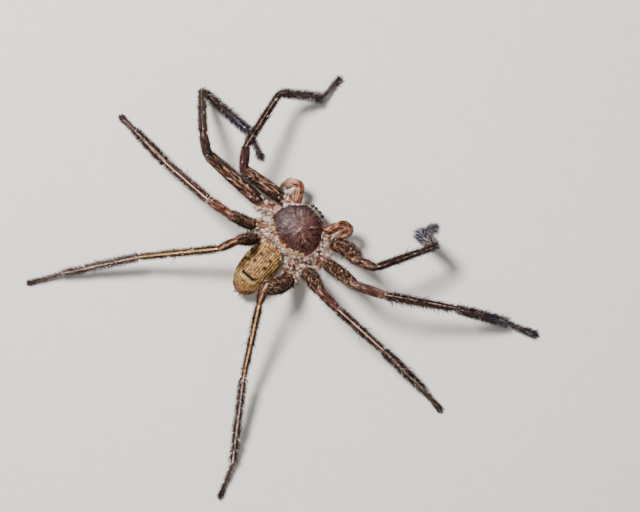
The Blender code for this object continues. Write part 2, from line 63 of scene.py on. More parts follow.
FURROWS = (  # start and end on the left side, depth at the start, width
    ((0.0, 0.0), (0.0, 1.1), 0.34, 0.2), ((0.3, -0.4), (2.3, -3.2), 0.2, 0.3),
    ((0.4, 0.2), (4.3, -0.9), 0.13, 0.3), ((0.4, 0.7), (4.5, 1.4), 0.13, 0.3),
    ((0.3, 1.1), (3.3, 3.9), 0.13, 0.3),
)
PALE_DASHES = ((2.6, 1.0), (2.3, 1.5), (2.0, -2.1), (1.5, -1.7))
FAN_MIDDLE = 0.4
# Shares of red, green and blue that warm the finished colours, and how dark the shell is under its hairs
CARAPACE_WARMTH = (1.38, 0.98, 0.88)
SHELL_SHADE = 0.7

low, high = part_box("carapace")
GROOVE = Vector(((low.x + high.x) / 2, low.y + CARAPACE_FRONT * 0.001, 0.0))
IN_PLACE = Matrix.Translation(GROOVE) @ Matrix.Scale(0.001, 4)


def linear(code):
    """A colour given in sRGB hex, as linear red, green and blue."""
    parts = [int(code[place:place + 2], 16) / 255 for place in (1, 3, 5)]
    return np.array([part / 12.92 if part <= 0.04045 else ((part + 0.055) / 1.055) ** 2.4 for part in parts])


def add_node(tree, kind, settings=None, links=None):
    """Add a node, set its properties and sockets by name, and link sockets to outputs of other nodes."""
    node = tree.nodes.new(kind)
    for name, value in (settings or {}).items():
        if name in node.inputs:
            node.inputs[name].default_value = value
        else:
            setattr(node, name, value)
    for name, output in (links or {}).items():
        tree.links.new(output, node.inputs[name])
    return node


def new_material(name, sockets):
    """A material with its node tree and its shader, some of whose sockets have fixed values."""
    material = bpy.data.materials.new(name)
    material.use_nodes = True
    shader = material.node_tree.nodes["Principled BSDF"]
    for socket, value in sockets.items():
        shader.inputs[socket].default_value = value
    return material, material.node_tree, shader


def speckle(tree, grain, detail):
    """A noise fixed to the piece, with a grain of so many millimetres."""
    place = add_node(tree, "ShaderNodeTexCoord").outputs["Object"]
    settings = {"Scale": 1000 / grain, "Detail": detail}
    return add_node(tree, "ShaderNodeTexNoise", settings, {"Vector": place}).outputs["Fac"]


def marked_surface(name, roughness, grain, relief, contrast, specular=0.5):
    """A surface coloured by its markings, broken up by a grain of so many millimetres."""
    material, tree, shader = new_material(name, {"Specular IOR Level": specular})
    marking = add_node(tree, "ShaderNodeAttribute", {"attribute_name": "marking"})
    specks = speckle(tree, grain, detail=3.0)
    shade = add_node(
        tree, "ShaderNodeMapRange",
        {"From Min": 0.3, "From Max": 0.7, "To Min": 1.0 - contrast, "To Max": 1.0 + contrast},
        {"Value": specks},
    )
    tint = add_node(
        tree, "ShaderNodeVectorMath", {"operation": "SCALE"},
        {"Vector": marking.outputs["Color"], "Scale": shade.outputs["Result"]},
    )
    gloss = add_node(
        tree, "ShaderNodeMapRange", {"To Min": roughness - 0.12, "To Max": roughness + 0.12},
        {"Value": specks},
    )
    bump = add_node(tree, "ShaderNodeBump", {"Distance": relief * 0.001, "Strength": 0.8}, {"Height": specks})
    tree.links.new(tint.outputs["Vector"], shader.inputs["Base Color"])
    tree.links.new(gloss.outputs["Result"], shader.inputs["Roughness"])
    tree.links.new(bump.outputs["Normal"], shader.inputs["Normal"])
    return material


def layered(ground, *coats):
    """A ground colour with others laid over it in turn, each with a share from 0 to 1 for each point."""
    colours = linear(ground) if isinstance(ground, str) else ground
    for coat, share in coats:
        coat = linear(coat) if isinstance(coat, str) else coat
        share = np.clip(share, 0, 1)[:, None]
        colours = colours * (1 - share) + coat * share
    return colours


def ramp(start, end, value):
    """Rise smoothly from 0 at start to 1 at end."""
    part = np.clip((value - start) / (end - start), 0, 1)
    return part * part * (3 - 2 * part)


def lumps(points, size, seed=0):
    """Smooth random values from 0 to 1 that change over so many millimetres, a size or one for each axis."""
    scaled = np.asarray(points) / size + seed * 17.31
    return np.array([0.5 + 0.62 * noise.noise(point) for point in scaled.tolist()])


def curve_through(knots, rows, places):
    """Values on a smooth curve through rows of numbers."""
    knots, rows = np.asarray(knots, float), np.asarray(rows, float)
    slopes = np.gradient(rows, knots, axis=0)
    spot = np.clip(np.searchsorted(knots, places, side="right") - 1, 0, len(knots) - 2)
    span = (knots[spot + 1] - knots[spot])[:, None]
    part = ((places - knots[spot])[:, None]) / span
    rise, flat = part * part * (3 - 2 * part), part * (1 - part)
    bend = flat * (1 - part) * slopes[spot] * span - flat * part * slopes[spot + 1] * span
    return rows[spot] * (1 - rise) + rows[spot + 1] * rise + bend


def oval_rings(rows, sides, spacing, room):
    """Closely set oval sections through a few drawn ones, as rings of points, with their places along Y."""
    level_share, end_shrink, end_reach = 0.35, 0.45, 0.1
    rows = np.asarray(rows, float)
    knots = np.concatenate(([0], np.cumsum(np.hypot(np.diff(rows[:, 0]), np.diff(rows[:, 1])))))
    close = curve_through(knots, rows, np.linspace(0, knots[-1], int(knots[-1] / spacing)))
    tight = close[[0, -1]] * (1, end_shrink, 1, 1)
    middle = tight[:, 3] + level_share * (tight[:, 2] - tight[:, 3])
    tight[:, 2] = middle + end_shrink * (tight[:, 2] - middle)
    tight[:, 3] = middle + end_shrink * (tight[:, 3] - middle)
    tight[:, 0] += np.array([-end_reach, end_reach]) + np.array([room, -room])
    close = np.vstack([tight[:1], close, tight[1:]])
    turns = np.linspace(0, 2 * np.pi, sides, endpoint=False)
    y, half, top, bottom = (column[:, None] for column in close.T)
    level = bottom + level_share * (top - bottom)
    reach = np.where(np.sin(turns) > 0, top - level, level - bottom)
    across = np.maximum(half - room, 0.1) * np.cos(turns)
    height = level + np.maximum(reach - room, 0.1) * np.sin(turns)
    points = np.stack([across, np.broadcast_to(y, across.shape), height], 2)
    return points, close[:, 0], level[:, 0]


def drawn_out(rings):
    """Extrude one ring of vertices from section to section and close both ends."""
    bm = bmesh.new()
    bmesh.ops.create_circle(bm, segments=len(rings[0]), radius=1.0)
    ring, rim = bm.verts[:], bm.edges[:]
    for vert, place in zip(ring, rings[0]):
        vert.co = place
    order = [ring]
    for places in rings[1:]:
        drawn = bmesh.ops.extrude_edge_only(bm, edges=rim)["geom"]
        fresh = {tuple(part.co): part for part in drawn if isinstance(part, bmesh.types.BMVert)}
        rim = [part for part in drawn if isinstance(part, bmesh.types.BMEdge) and part.is_boundary]
        ring = [fresh[tuple(vert.co)] for vert in ring]
        for vert, place in zip(ring, places):
            vert.co = place
        order.append(ring)
    bmesh.ops.holes_fill(bm, edges=[edge for edge in bm.edges if edge.is_boundary], sides=0)
    bmesh.ops.recalc_face_normals(bm, faces=bm.faces)
    bm.verts.index_update()
    return bm, np.array([[vert.index for vert in row] for row in order])


def make_skin(rings, along, axes, centres=None):
    """A closed skin with what its hairs need: each vertex's place along it, turn about it and axis.

    The axis is one direction for the whole skin, or one for each ring.
    """
    axes = np.broadcast_to(axes, (len(rings), 3))
    bm, order = drawn_out(rings)
    mesh = bpy.data.meshes.new("skin")
    bm.to_mesh(mesh)
    bm.free()
    count = len(mesh.vertices)
    skin = {"mesh": mesh, "points": np.zeros((count, 3)), "normals": np.zeros((count, 3))}
    mesh.vertices.foreach_get("co", skin["points"].ravel())
    mesh.vertex_normals.foreach_get("vector", skin["normals"].ravel())
    mesh.calc_loop_triangles()
    skin["faces"] = np.zeros((len(mesh.loop_triangles), 3), int)
    mesh.loop_triangles.foreach_get("vertices", skin["faces"].ravel())
    centres = rings.mean(axis=1) if centres is None else centres
    upward = flat_on(axes, np.array([(0.0, 0.0, 1.0)] * len(rings)))
    sideways = np.cross(upward, axes)
    arms = rings - centres[:, None, :]
    turn = np.arctan2((arms * sideways[:, None, :]).sum(2), (arms * upward[:, None, :]).sum(2))
    for name, values in (("along", np.broadcast_to(along[:, None], turn.shape)), ("turn", turn)):
        skin[name] = np.zeros(count)
        skin[name][order] = values
    skin["axis"] = np.zeros((count, 3))
    skin["axis"][order] = np.broadcast_to(axes[:, None, :], rings.shape)
    return skin


def roots_on(skin, count, draw, chance=None):
    """Scatter hair roots over a skin, more of them where the chance of each vertex is higher."""
    corners = skin["points"][skin["faces"]]
    weight = np.linalg.norm(np.cross(corners[:, 1] - corners[:, 0], corners[:, 2] - corners[:, 0]), axis=1)
    if chance is not None:
        weight = weight * np.maximum(chance[skin["faces"]].mean(axis=1), 0)
    picked = skin["faces"][draw.choice(len(weight), size=count, p=weight / weight.sum())]
    first, second = draw.random((2, count))
    over = first + second > 1
    first[over], second[over] = 1 - first[over], 1 - second[over]
    share = np.stack([1 - first - second, first, second], 1)[:, :, None]
    roots = {name: (skin[name][picked] * share).sum(1) for name in ("points", "normals", "axis")}
    roots["along"] = (skin["along"][picked] * share[:, :, 0]).sum(1)
    spun = np.exp(1j * skin["turn"][picked]) * share[:, :, 0]
    roots["turn"] = np.angle(spun.sum(1))
    roots["normals"] /= np.linalg.norm(roots["normals"], axis=1)[:, None]
    return roots


def only(roots, kept):
    """Some of the roots, kept by a mask."""
    return {name: values[kept] for name, values in roots.items()}


def moved_on(roots, way, reach):
    """The same roots a little further along a direction, where the middles of their hairs lie."""
    return roots["points"] + flat_on(roots["normals"], way) * reach


def in_tufts(roots, draw, size, spread, spray):
    """Repeat each root as a tuft of so many hairs set close, and give each tuft a direction of its own."""
    tufts = len(roots["along"])
    full = {name: np.repeat(values, size, axis=0) for name, values in roots.items()}
    count = tufts * size
    sideways = flat_on(full["normals"], draw.normal(0, 1, (count, 3)))
    full["points"] = full["points"] + sideways * draw.uniform(0, spread, count)[:, None]
    full["spray"] = np.repeat(draw.normal(0, spray, (tufts, 3)), size, axis=0)
    full["shade"] = np.repeat(draw.random(tufts), size)
    return full


def flat_on(normals, lie):
    """Lay directions flat on a surface."""
    flat = lie - normals * (lie * normals).sum(1)[:, None]
    return flat / np.maximum(np.linalg.norm(flat, axis=1), 1e-6)[:, None]


# How deep a hair starts under the skin and how far every hair stays off the floor, in millimetres, and how
# much of the baked image the roots' places take up, with the patch beside its place that each hair has
HAIR_ROOT_DEPTH = 0.04
FLOOR_GAP = 0.02
BAKE_SHARE = 0.995
BAKE_PATCH = 0.003
# Tones of a hair's three corners at its root, of three half way and of its tip, and their places on the
# patch:
# the root is darkened as painted shade from the hairs around it and the tip lightened as a painted highlight
PAINTED_HAIR_SHADING = (0.5, 0.5, 0.5, 1.0, 1.0, 1.0, 1.2)
PAINTED_FINE_HAIR_SHADING = (0.8, 0.8, 0.8, 1.25)
PATCH_PLACES = ((0, 0), (0.5, 0), (1, 0), (0, 0.5), (0.5, 0.5), (1, 0.5), (0.5, 1))


def lay_hairs(
    name, roots, lie, colours, material, slot, lift, length, width, lean=0.25, droop=0.35, fine=False
):
    """Join bent, tapering three-sided hairs into one mesh, rooted in a skin and rising by lift degrees.

    Lean spreads their directions and droop is the share of the lift left at the tip. Fine hairs are straight.
    """
    draw = np.random.default_rng(len(name) + len(colours))
    count = len(colours)
    normals = roots["normals"]
    lie = flat_on(normals, lie)
    side = np.cross(normals, lie)
    lie = flat_on(normals, lie + side * draw.normal(0, lean, count)[:, None])
    side = np.cross(normals, lie)
    rise = np.radians(lift * draw.uniform(0.6, 1.4, count))[:, None]
    length = (length * draw.uniform(0.75, 1.2, count))[:, None]
    width = (width * draw.uniform(0.8, 1.2, count))[:, None]
    root = roots["points"] - normals * HAIR_ROOT_DEPTH
    heading = lie * np.cos(rise) + normals * np.sin(rise)
    bent = lie * np.cos(rise * droop) + normals * np.sin(rise * droop)
    middle = root + heading * length * 0.5
    tip = middle + bent * length * 0.5
    across = np.cross(heading, side)
    corners = 4 if fine else 7
    verts = np.zeros((count, corners, 3))
    for corner, turn in enumerate(np.radians((90, 210, 330))):
        ring = side * math.cos(turn) * 0.5 + across * math.sin(turn) * 0.35
        verts[:, corner] = root + ring * width
        if not fine:
            verts[:, corner + 3] = middle + ring * width * 0.8
    verts[:, -1] = tip
    verts[:, :, 2] = np.maximum(verts[:, :, 2], FLOOR_GAP)
    pattern = [(2, 1, 0)]
    for near, far in ((0, 1), (1, 2), (2, 0)):
        if fine:
            pattern.append((near, far, 3))
        else:
            pattern += [(near, far, far + 3), (near, far + 3, near + 3), (near + 3, far + 3, 6)]
    faces = (np.array(pattern)[None] + corners * np.arange(count)[:, None, None]).ravel()
    mesh = bpy.data.meshes.new(name)
    mesh.vertices.add(corners * count)
    mesh.vertices.foreach_set("co", verts.ravel())
    mesh.loops.add(len(faces))
    mesh.loops.foreach_set("vertex_index", faces)
    mesh.polygons.add(len(faces) // 3)
    mesh.polygons.foreach_set("loop_start", np.arange(0, len(faces), 3))
    mesh.update(calc_edges=True)
    # Painted shade at each hair's root and a painted highlight at its tip, laid into its colour
    painted_shading = np.array(PAINTED_FINE_HAIR_SHADING if fine else PAINTED_HAIR_SHADING)[None, :, None]
    paint(mesh, (colours[:, None, :] * painted_shading).reshape(-1, 3))
    home = np.stack([roots["turn"] / (2 * np.pi) + 0.5, roots["along"]], 1)
    patch = np.array(PATCH_PLACES) * BAKE_PATCH
    patch = patch[[0, 1, 2, 6]] if fine else patch
    unwrap = np.clip(home[:, None, :] * BAKE_SHARE + patch[None], 0, 1).reshape(-1, 2)
    mesh.uv_layers.new(name="OFBake").data.foreach_set("uv", unwrap[faces].ravel())
    place_piece(name, mesh, material, slot)


def paint(mesh, colours):
    """Keep a colour for each vertex, which the material reads."""
    layer = mesh.color_attributes.new("marking", "FLOAT_COLOR", "POINT")
    full = np.ones((len(mesh.vertices), 4), np.float32)
    full[:, :3] = np.clip(colours, 0, 1)
    layer.data.foreach_set("color", full.ravel())


def place_piece(name, mesh, material, slot, *nodes):
    mesh.transform(IN_PLACE)
    mesh.name = name
    mesh.materials.append(material)
    mesh.shade_smooth()
    piece = bpy.data.objects.new(name, mesh)
    bpy.context.scene.collection.objects.link(piece)
    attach(piece, "root")
    if nodes:
        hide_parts(*nodes)


def share_along(places):
    """Each place as a share of the whole length."""
    return (places - places.min()) / (places.max() - places.min())


def carapace_relief(points):
    """How far the furrows sink the shell below its smooth dome, in millimetres."""
    flat = points[:, :2] * (np.sign(points[:, :1]) * (1, 0) + (0, 1))
    depth = np.zeros(len(points))
    for start, end, deep, wide in FURROWS:
        start, line = np.array(start), np.array(end) - np.array(start)
        part = np.clip(((flat - start) @ line) / (line @ line), 0, 1)
        gap = np.linalg.norm(flat - start - part[:, None] * line, axis=1)
        depth = np.maximum(depth, deep * (1 - 0.6 * part) * np.exp(-((gap / wide) ** 2)))
    head = 0.16 * np.exp(-((flat[:, 0] / 1.5) ** 2) - ((flat[:, 1] + 2.6) / 1.4) ** 2)
    return depth - head


def carapace_colours(points, draw=None):
    """Streaks of hair colour that run out from the groove, red near it and pale along the foot."""
    x, y, z = points.T
    reach = np.hypot(x, y - FAN_MIDDLE)
    around = np.arctan2(x, y - FAN_MIDDLE)
    rays = np.stack([around * 6.5, reach * 0.35, np.zeros(len(x))], 1)
    fine = np.stack([around * 3.2 * np.maximum(reach, 0.8) / 0.12, reach * 1.1, np.zeros(len(x))], 1)
    streak = 0.2 * lumps(rays, 1.0, 1) + 0.8 * lumps(fine, 1.0, 2)
    if draw is not None:
        streak = streak + draw.normal(0, 0.13, len(x))
    colours = layered("#2b1a18", ("#5e4340", ramp(0.26, 0.5, streak)), ("#baa5a0", ramp(0.57, 0.8, streak)))
    # Grey over the left half, on the side towards the lamp: partly the hairs' own grey, partly a painted
    # sheen of light
    grey = colours.mean(axis=1)[:, None] * (0.98, 1.02, 1.1)
    grey_and_sheen = lumps(points, 2.2, 4) * ramp(-1.2, 1.2, x) * ramp(4.8, 2.5, y)
    head = ramp(2.2, 1.4, np.abs(x)) * ramp(-0.6, -1.6, y)
    red = ramp(2.4, 0.4, reach) * ramp(0.56, 0.72, lumps(rays, 0.7, 7))
    buffs = layered("#8f5a38", ("#dbbb90", ramp(0.3, 0.7, lumps(points, 0.22, 16))))
    buff = ramp(3.7, 4.3, y + 0.04 * x * x + 0.5 * (lumps(points, 0.5, 6) - 0.5)) * (z > 4.6)
    foot = ramp(5.7, 4.9, z) * ramp(0.35, 0.6, lumps(points, 0.5, 5)) * ramp(-4.4, -3.4, y)
    colours = layered(
        colours,
        # grey hairs, partly painted sheen on the lit side
        (grey, 0.85 * ramp(-0.05, 0.4, grey_and_sheen)),
        ("#6e504a", 0.5 * head),
        ("#7a2f22", 0.7 * red),
        (buffs, 0.9 * buff * ramp(4.4, 3.6, np.abs(x))),
        ("#cbb3a6", 0.85 * foot),
    )
    for across, back in PALE_DASHES:
        way = np.array((across, back - FAN_MIDDLE)) / math.hypot(across, back - FAN_MIDDLE)
        ahead = (np.abs(x) - across) * way[0] + (y - back) * way[1]
        beside = (np.abs(x) - across) * way[1] - (y - back) * way[0]
        dash = 0.6 * ramp(0.36, 0.2, np.abs(ahead)) * ramp(0.1, 0.05, np.abs(beside))
        colours = layered(colours, ("#f0e4dc", dash))
    return colours * CARAPACE_WARMTH


rings, places, levels = oval_rings(CARAPACE_SECTIONS, sides=96, spacing=0.14, room=COAT_DEPTH)
upper = rings[:, :, 2] > levels[:, None]
sunk = carapace_relief(rings.reshape(-1, 3)).reshape(upper.shape)
rings[:, :, 2] -= np.where(upper, sunk * ramp(0, 0.8, rings[:, :, 2] - levels[:, None]), 0)
carapace_skin = make_skin(rings, share_along(places), (0.0, 1.0, 0.0))

# Chitin cuticle: a dark brown shell, satin and finely pitted, that shows between the hairs.
cuticle = marked_surface("chitin_cuticle", roughness=0.42, grain=0.25, relief=0.03, contrast=0.3)
paint(carapace_skin["mesh"], carapace_colours(carapace_skin["points"]) * SHELL_SHADE)
place_piece("carapace_shell", carapace_skin["mesh"], cuticle, "carapace", "carapace")

# Fine body hair: chitin bristles lying flat, dull and soft; the grain stands for single hairs, drawn
# coarser than the real 0.02 mm so that it shows.
body_hair = marked_surface(
    "fine_body_hair", roughness=0.55, grain=0.3, relief=0.02, contrast=0.22, specular=0.08
)

EYES = [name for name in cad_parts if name.startswith("eye_")]


def eye_place(name):
    """Middle and radius of an eye, in millimetres from the groove."""
    corner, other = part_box(name)
    return (np.array((corner + other) / 2) - np.array(GROOVE)) * 1000, (other.x - corner.x) * 500


def clear_of_eyes(roots, room):
    """Only the roots that stand off every eye by so many millimetres."""
    kept = np.ones(len(roots["along"]), bool)
    for name in EYES:
        middle, radius = eye_place(name)
        kept &= np.linalg.norm(roots["points"] - middle, axis=1) > radius + room
    return only(roots, kept)


CARAPACE_HAIRS = 32000
FRINGE_TUFTS = 230
REAR_TUFTS = 260
BROW_HAIRS = 380
draw = np.random.default_rng(3)
x, y, z = carapace_skin["points"].T
roots = clear_of_eyes(roots_on(carapace_skin, CARAPACE_HAIRS, draw, ramp(3.9, 5.0, z)), room=0.08)
outward = roots["points"] * (1, 1, 0) - (0, FAN_MIDDLE, 0)
near_eyes = ramp(-2.9, -4.0, roots["points"][:, 1])
shades = carapace_colours(moved_on(roots, outward, 0.35), draw)
lay_hairs(
    "carapace_coat", roots, outward, shades, body_hair, "carapace",
    lift=11, length=0.75 - 0.4 * near_eyes, width=0.085, lean=0.14, fine=True,
)

foot = np.exp(-((z - 4.9) / 0.35) ** 2) * ramp(-3.6, -2.6, y)
roots = in_tufts(roots_on(carapace_skin, FRINGE_TUFTS, draw, foot), draw, size=9, spread=0.12, spray=0.5)
outward = roots["normals"] * (1, 1, 0) + (0, 0.55, -0.25) + roots["spray"]
white = layered("#efe3dc", ("#8a5745", ramp(0.2, 0.75, roots["shade"])))
lay_hairs(
    "carapace_fringe", roots, outward, white, body_hair, "carapace",
    lift=30, length=1.1, width=0.085, lean=0.14,
)

edge = y + 0.1 * x ** 2
rear = np.exp(-((edge - 4.7) / 0.5) ** 2) * (z > 4.5) * ramp(4.6, 3.8, np.abs(x))
roots = in_tufts(roots_on(carapace_skin, REAR_TUFTS, draw, rear), draw, size=8, spread=0.1, spray=0.35)
cream = layered("#e2cba4", ("#8f532c", ramp(0.3, 0.85, roots["shade"])))
backward = roots["normals"] * (0.8, 0.3, 0) + (0.0, 0.9, 0.0) + roots["spray"]
lay_hairs(
    "carapace_rear_tufts", roots, backward, cream, body_hair, "carapace",
    lift=22, length=0.85, width=0.075, lean=0.2,
)

brow = ramp(-3.3, -3.8, y) * (z > 5.0)
roots = clear_of_eyes(roots_on(carapace_skin, BROW_HAIRS, draw, brow), room=0.14)
pale = layered("#e9e6d2", ("#5c5146", draw.random(len(roots["along"])) ** 1.1))
lay_hairs(
    "eye_surround_tufts", roots, roots["points"] - (0, 1.0, 6.0), pale, body_hair, "carapace",
    lift=30, length=0.34, width=0.08, lean=0.9,
)


# Eyes: eight glassy lenses in two rows across the front of the carapace, nearly black, each a polished
# bead of clear cuticle over dark pigment, set in its socket in the shell.
def toned_surface(name, dark, light, grain, sockets, detail=2.0):
    """A surface of two tones in a grain of so many millimetres."""
    material, tree, shader = new_material(name, sockets)
    tone = add_node(tree, "ShaderNodeValToRGB", links={"Fac": speckle(tree, grain, detail)})
    for stop, code in zip(tone.color_ramp.elements, (dark, light)):
        stop.color = (*linear(code), 1)
    tree.links.new(tone.outputs["Color"], shader.inputs["Base Color"])
    return material


# Lens cuticle: clear and mirror smooth over black pigment, so that it shows only the lights.
lens = toned_surface(
    "polished_lens_cuticle", "#07070a", "#1d1a22", grain=0.4,
    sockets={"Roughness": 0.06, "IOR": 1.42, "Coat Weight": 0.1},
)

for name in EYES:
    middle, radius = eye_place(name)
    bm = bmesh.new()
    bmesh.ops.create_uvsphere(bm, u_segments=28, v_segments=18, radius=radius)
    bmesh.ops.translate(bm, verts=bm.verts, vec=middle)
    mesh = bpy.data.meshes.new(name)
    bm.to_mesh(mesh)
    bm.free()
    place_piece(name + "_lens", mesh, lens, "eye", name)


# Abdomen: a soft, egg-shaped bag of thin cuticle, clad in khaki and yellow hairs that lie backwards in
# fine lines, with dark rows, two pairs of muscle dots, and a black bar with a cream band behind it.
ABDOMEN_SECTIONS = (
    (5.95, 1.1, 5.3, 4.1), (6.25, 2.0, 6.0, 3.6), (7.2, 2.83, 6.9, 2.8), (8.6, 3.4, 7.6, 2.1),
    (10.2, 3.65, 8.0, 1.7), (12.0, 3.6, 8.1, 1.6), (13.6, 3.3, 7.9, 1.7), (15.0, 2.75, 7.2, 2.0),
    (16.1, 2.1, 6.2, 2.6), (16.75, 1.35, 5.4, 3.2), (17.0, 0.75, 4.9, 3.7),
)
ABDOMEN_TURN = 8
ABDOMEN_MIDDLE = np.array((-0.2, 10.2, 0.0))
MUSCLE_DOTS = ((1.08, 8.5), (1.17, 10.2))
BAR_PLACE = 13.3
LINE_SPACING = 0.48
ABDOMEN_WARMTH = (1.12, 0.97, 0.86)
ABDOMEN_SKIN_SHADE = 0.75
ABDOMEN_HAIRS = 44000
WAIST_TUFTS = 44


def turned(points, degrees):
    """Points turned about the middle of the abdomen, seen from above."""
    spin = np.array(Matrix.Rotation(math.radians(degrees), 3, "Z"))
    return (np.asarray(points) - ABDOMEN_MIDDLE) @ spin.T + ABDOMEN_MIDDLE


def abdomen_place(points):
    """Where the abdomen is carried: a little turned, with its end to the animal's right."""
    return turned(np.asarray(points) + ABDOMEN_MIDDLE * (1, 0, 0), ABDOMEN_TURN)


def abdomen_colours(points, draw=None):
    """Fine lines along the abdomen, and its patch, dots, bar and band."""
    points = turned(points, -ABDOMEN_TURN) - ABDOMEN_MIDDLE * (1, 0, 0)
    x, y, z = points.T
    wander = 0.7 * lumps(points, (1.2, 1.6, 1.2), 3) + 0.25 * lumps(points, 0.6, 8)
    phase = x / LINE_SPACING + 0.9 * wander
    lines = 0.5 + 0.5 * np.cos(2 * np.pi * phase)
    dashes = lumps(np.stack([np.round(phase) * 3.7, y * 1.6, np.zeros(len(x))], 1), 1.0, 6)
    value = 0.3 * lines + 0.42 * dashes + 0.28 * lumps(points, (0.16, 0.3, 0.16), 5)
    if draw is not None:
        value = value + draw.normal(0, 0.08, len(x))
    hind = 0.5 * ramp(13.6, 14.6, y) * ramp(0.3, 0.42, value)
    beside = np.abs(x - 0.1) + 0.28 * np.maximum(y - 8.2, 0)
    patch = ramp(0.95, 0.45, beside) * ramp(6.3, 6.9, y) * ramp(9.6, 8.6, y)
    colours = layered(
        "#331e0c",
        ("#966c3c", ramp(0.3, 0.42, value)),
        ("#ecd09a", ramp(0.48, 0.66, value)),
        ("#f0c684", hind),
        ("#5f5147", 0.62 * patch),
    )
    for across, back in MUSCLE_DOTS:
        gap = np.hypot(np.abs(x) - across, y - back)
        colours = layered(
            colours, ("#7a5024", 0.7 * ramp(0.6, 0.35, gap)), ("#2c1d10", 0.95 * ramp(0.36, 0.2, gap))
        )
    above = z > 4.5
    front = np.exp(-(((y - 6.75 - 0.12 * x * x) / 0.14) ** 2)) * ramp(2.6, 2.0, np.abs(x))
    rows = np.hypot(np.abs(x) - 0.45 - 0.09 * (y - 9), (y + 0.4) % 1.1 - 0.55)
    across = np.abs(x - 0.35)
    bar = ramp(0.38, 0.24, np.abs(y - BAR_PLACE + 0.05)) * ramp(1.62, 1.4, across)
    band = ramp(0.5, 0.3, np.abs(y - BAR_PLACE - 0.62 + 0.12 * across * across)) * ramp(1.9, 1.6, across)
    band = band * (1 - 0.7 * ramp(0.3, 0.75, np.cos(2 * np.pi * (x / 0.5 + 0.1))) * ramp(0.45, 0.6, dashes))
    rust = ramp(7.0, 6.2, y) * (z < 6.2)
    rim = ramp(15.4, 16.6, y + 0.5 * np.maximum(-x, 0)) * ramp(6.8, 5.6, z)
    return layered(
        colours,
        ("#2b1d12", 0.8 * front * above),
        ("#38260f", 0.6 * ramp(0.22, 0.12, rows) * above * (y > 8.6) * (y < 13)),
        ("#fbe2a4", 0.95 * band * above),
        ("#17100b", 0.96 * bar * above),
        ("#9a6a45", 0.6 * rust),
        ("#241510", 0.85 * rim * ramp(0.42, 0.54, lumps(points, 0.3, 9))),
        ("#b594a0", 0.75 * ramp(15.9, 16.5, y) * ramp(-0.2, 0.4, x)),
        ("#6f5636", 0.75 * ramp(4.2, 2.8, z)),
    ) * ABDOMEN_WARMTH


rings, places, _ = oval_rings(ABDOMEN_SECTIONS, sides=96, spacing=0.16, room=0.16)
backward = turned(ABDOMEN_MIDDLE + (0, 1, 0), ABDOMEN_TURN) - ABDOMEN_MIDDLE
abdomen_skin = make_skin(abdomen_place(rings), share_along(places), backward)

# Thin soft cuticle: leathery, wrinkled finely along the body, dull between the hairs.
soft_cuticle = marked_surface("soft_wrinkled_cuticle", roughness=0.6, grain=0.3, relief=0.05, contrast=0.25)
paint(abdomen_skin["mesh"], abdomen_colours(abdomen_skin["points"]) * ABDOMEN_SKIN_SHADE)
place_piece("abdomen_skin", abdomen_skin["mesh"], soft_cuticle, "abdomen", "abdomen")

roots = roots_on(abdomen_skin, ABDOMEN_HAIRS, draw, 0.4 + ramp(1.8, 3.6, abdomen_skin["points"][:, 2]))
shades = abdomen_colours(moved_on(roots, roots["axis"], 0.22), draw)
lay_hairs(
    "abdomen_coat", roots, roots["axis"], shades, body_hair, "abdomen",
    lift=12, length=0.5, width=0.075, lean=0.1, fine=True,
)
front = ramp(7.2, 6.3, abdomen_skin["points"][:, 1])
roots = in_tufts(roots_on(abdomen_skin, WAIST_TUFTS, draw, front), draw, size=9, spread=0.14, spray=0.5)
rust = layered("#8a6142", ("#dcc9ac", ramp(0.4, 0.9, roots["shade"])))
forward = roots["normals"] * (1, 0, 1) + (0, -0.4, 0) + roots["spray"]
lay_hairs("waist_tufts", roots, forward, rust, body_hair, "abdomen", lift=28, length=0.8, width=0.1, lean=0.2)


# Spinnerets: two pairs of short, jointed silk spigots on a small mound under the end of the abdomen,
# pale lilac-pink cuticle with short pale hairs.
SPINNERET_ROOT = Vector((0, 16.3, 3.4))
SPIGOT_HAIRS = 160


def round_rings(centres, axes, radii, sides):
    """Round sections square to their axes, untwisted from one to the next."""
    turns = np.linspace(0, 2 * np.pi, sides, endpoint=False)
    arm = np.cross(axes[0], (0.0, 0.0, 1.0))
    if np.linalg.norm(arm) < 0.1:
        arm = np.array((1.0, 0.0, 0.0))
    rings = []
    for centre, axis, radius in zip(centres, axes, radii):
        arm = arm - axis * (arm @ axis)
        arm /= np.linalg.norm(arm)
        other = np.cross(axis, arm)
        rings.append([centre + radius * (arm * math.cos(turn) + other * math.sin(turn)) for turn in turns])
    return np.array(rings)


def travelled(points):
    """How far along a line each of its points is."""
    return np.concatenate(([0], np.cumsum(np.linalg.norm(np.diff(points, axis=0), axis=1))))


def rounded_tube(points, radii, sides, spacing):
    """A skin along a smooth line with rounded ends."""
    points, radii = np.asarray(points, float), np.asarray(radii, float)
    knots = travelled(points)
    rows = np.hstack([points, radii[:, None]])
    close = curve_through(knots, rows, np.linspace(0, knots[-1], max(int(knots[-1] / spacing), 4)))
    first, last = close[0], close[-1]
    back, ahead = close[0, :3] - close[1, :3], close[-1, :3] - close[-2, :3]
    caps = []
    for part in (0.95, 0.8, 0.5):
        shrink = math.sqrt(1 - part * part)
        start = first[:3] + back / np.linalg.norm(back) * part * first[3]
        end = last[:3] + ahead / np.linalg.norm(ahead) * part * last[3]
        caps.append((np.append(start, shrink * first[3]), np.append(end, shrink * last[3])))
    close = np.vstack([[cap[0] for cap in caps], close, [cap[1] for cap in reversed(caps)]])
    axes = np.gradient(close[:, :3], axis=0)
    axes /= np.linalg.norm(axes, axis=1)[:, None]
    along = share_along(travelled(close[:, :3]))
    return make_skin(round_rings(close[:, :3], axes, close[:, 3], sides), along, axes, close[:, :3])


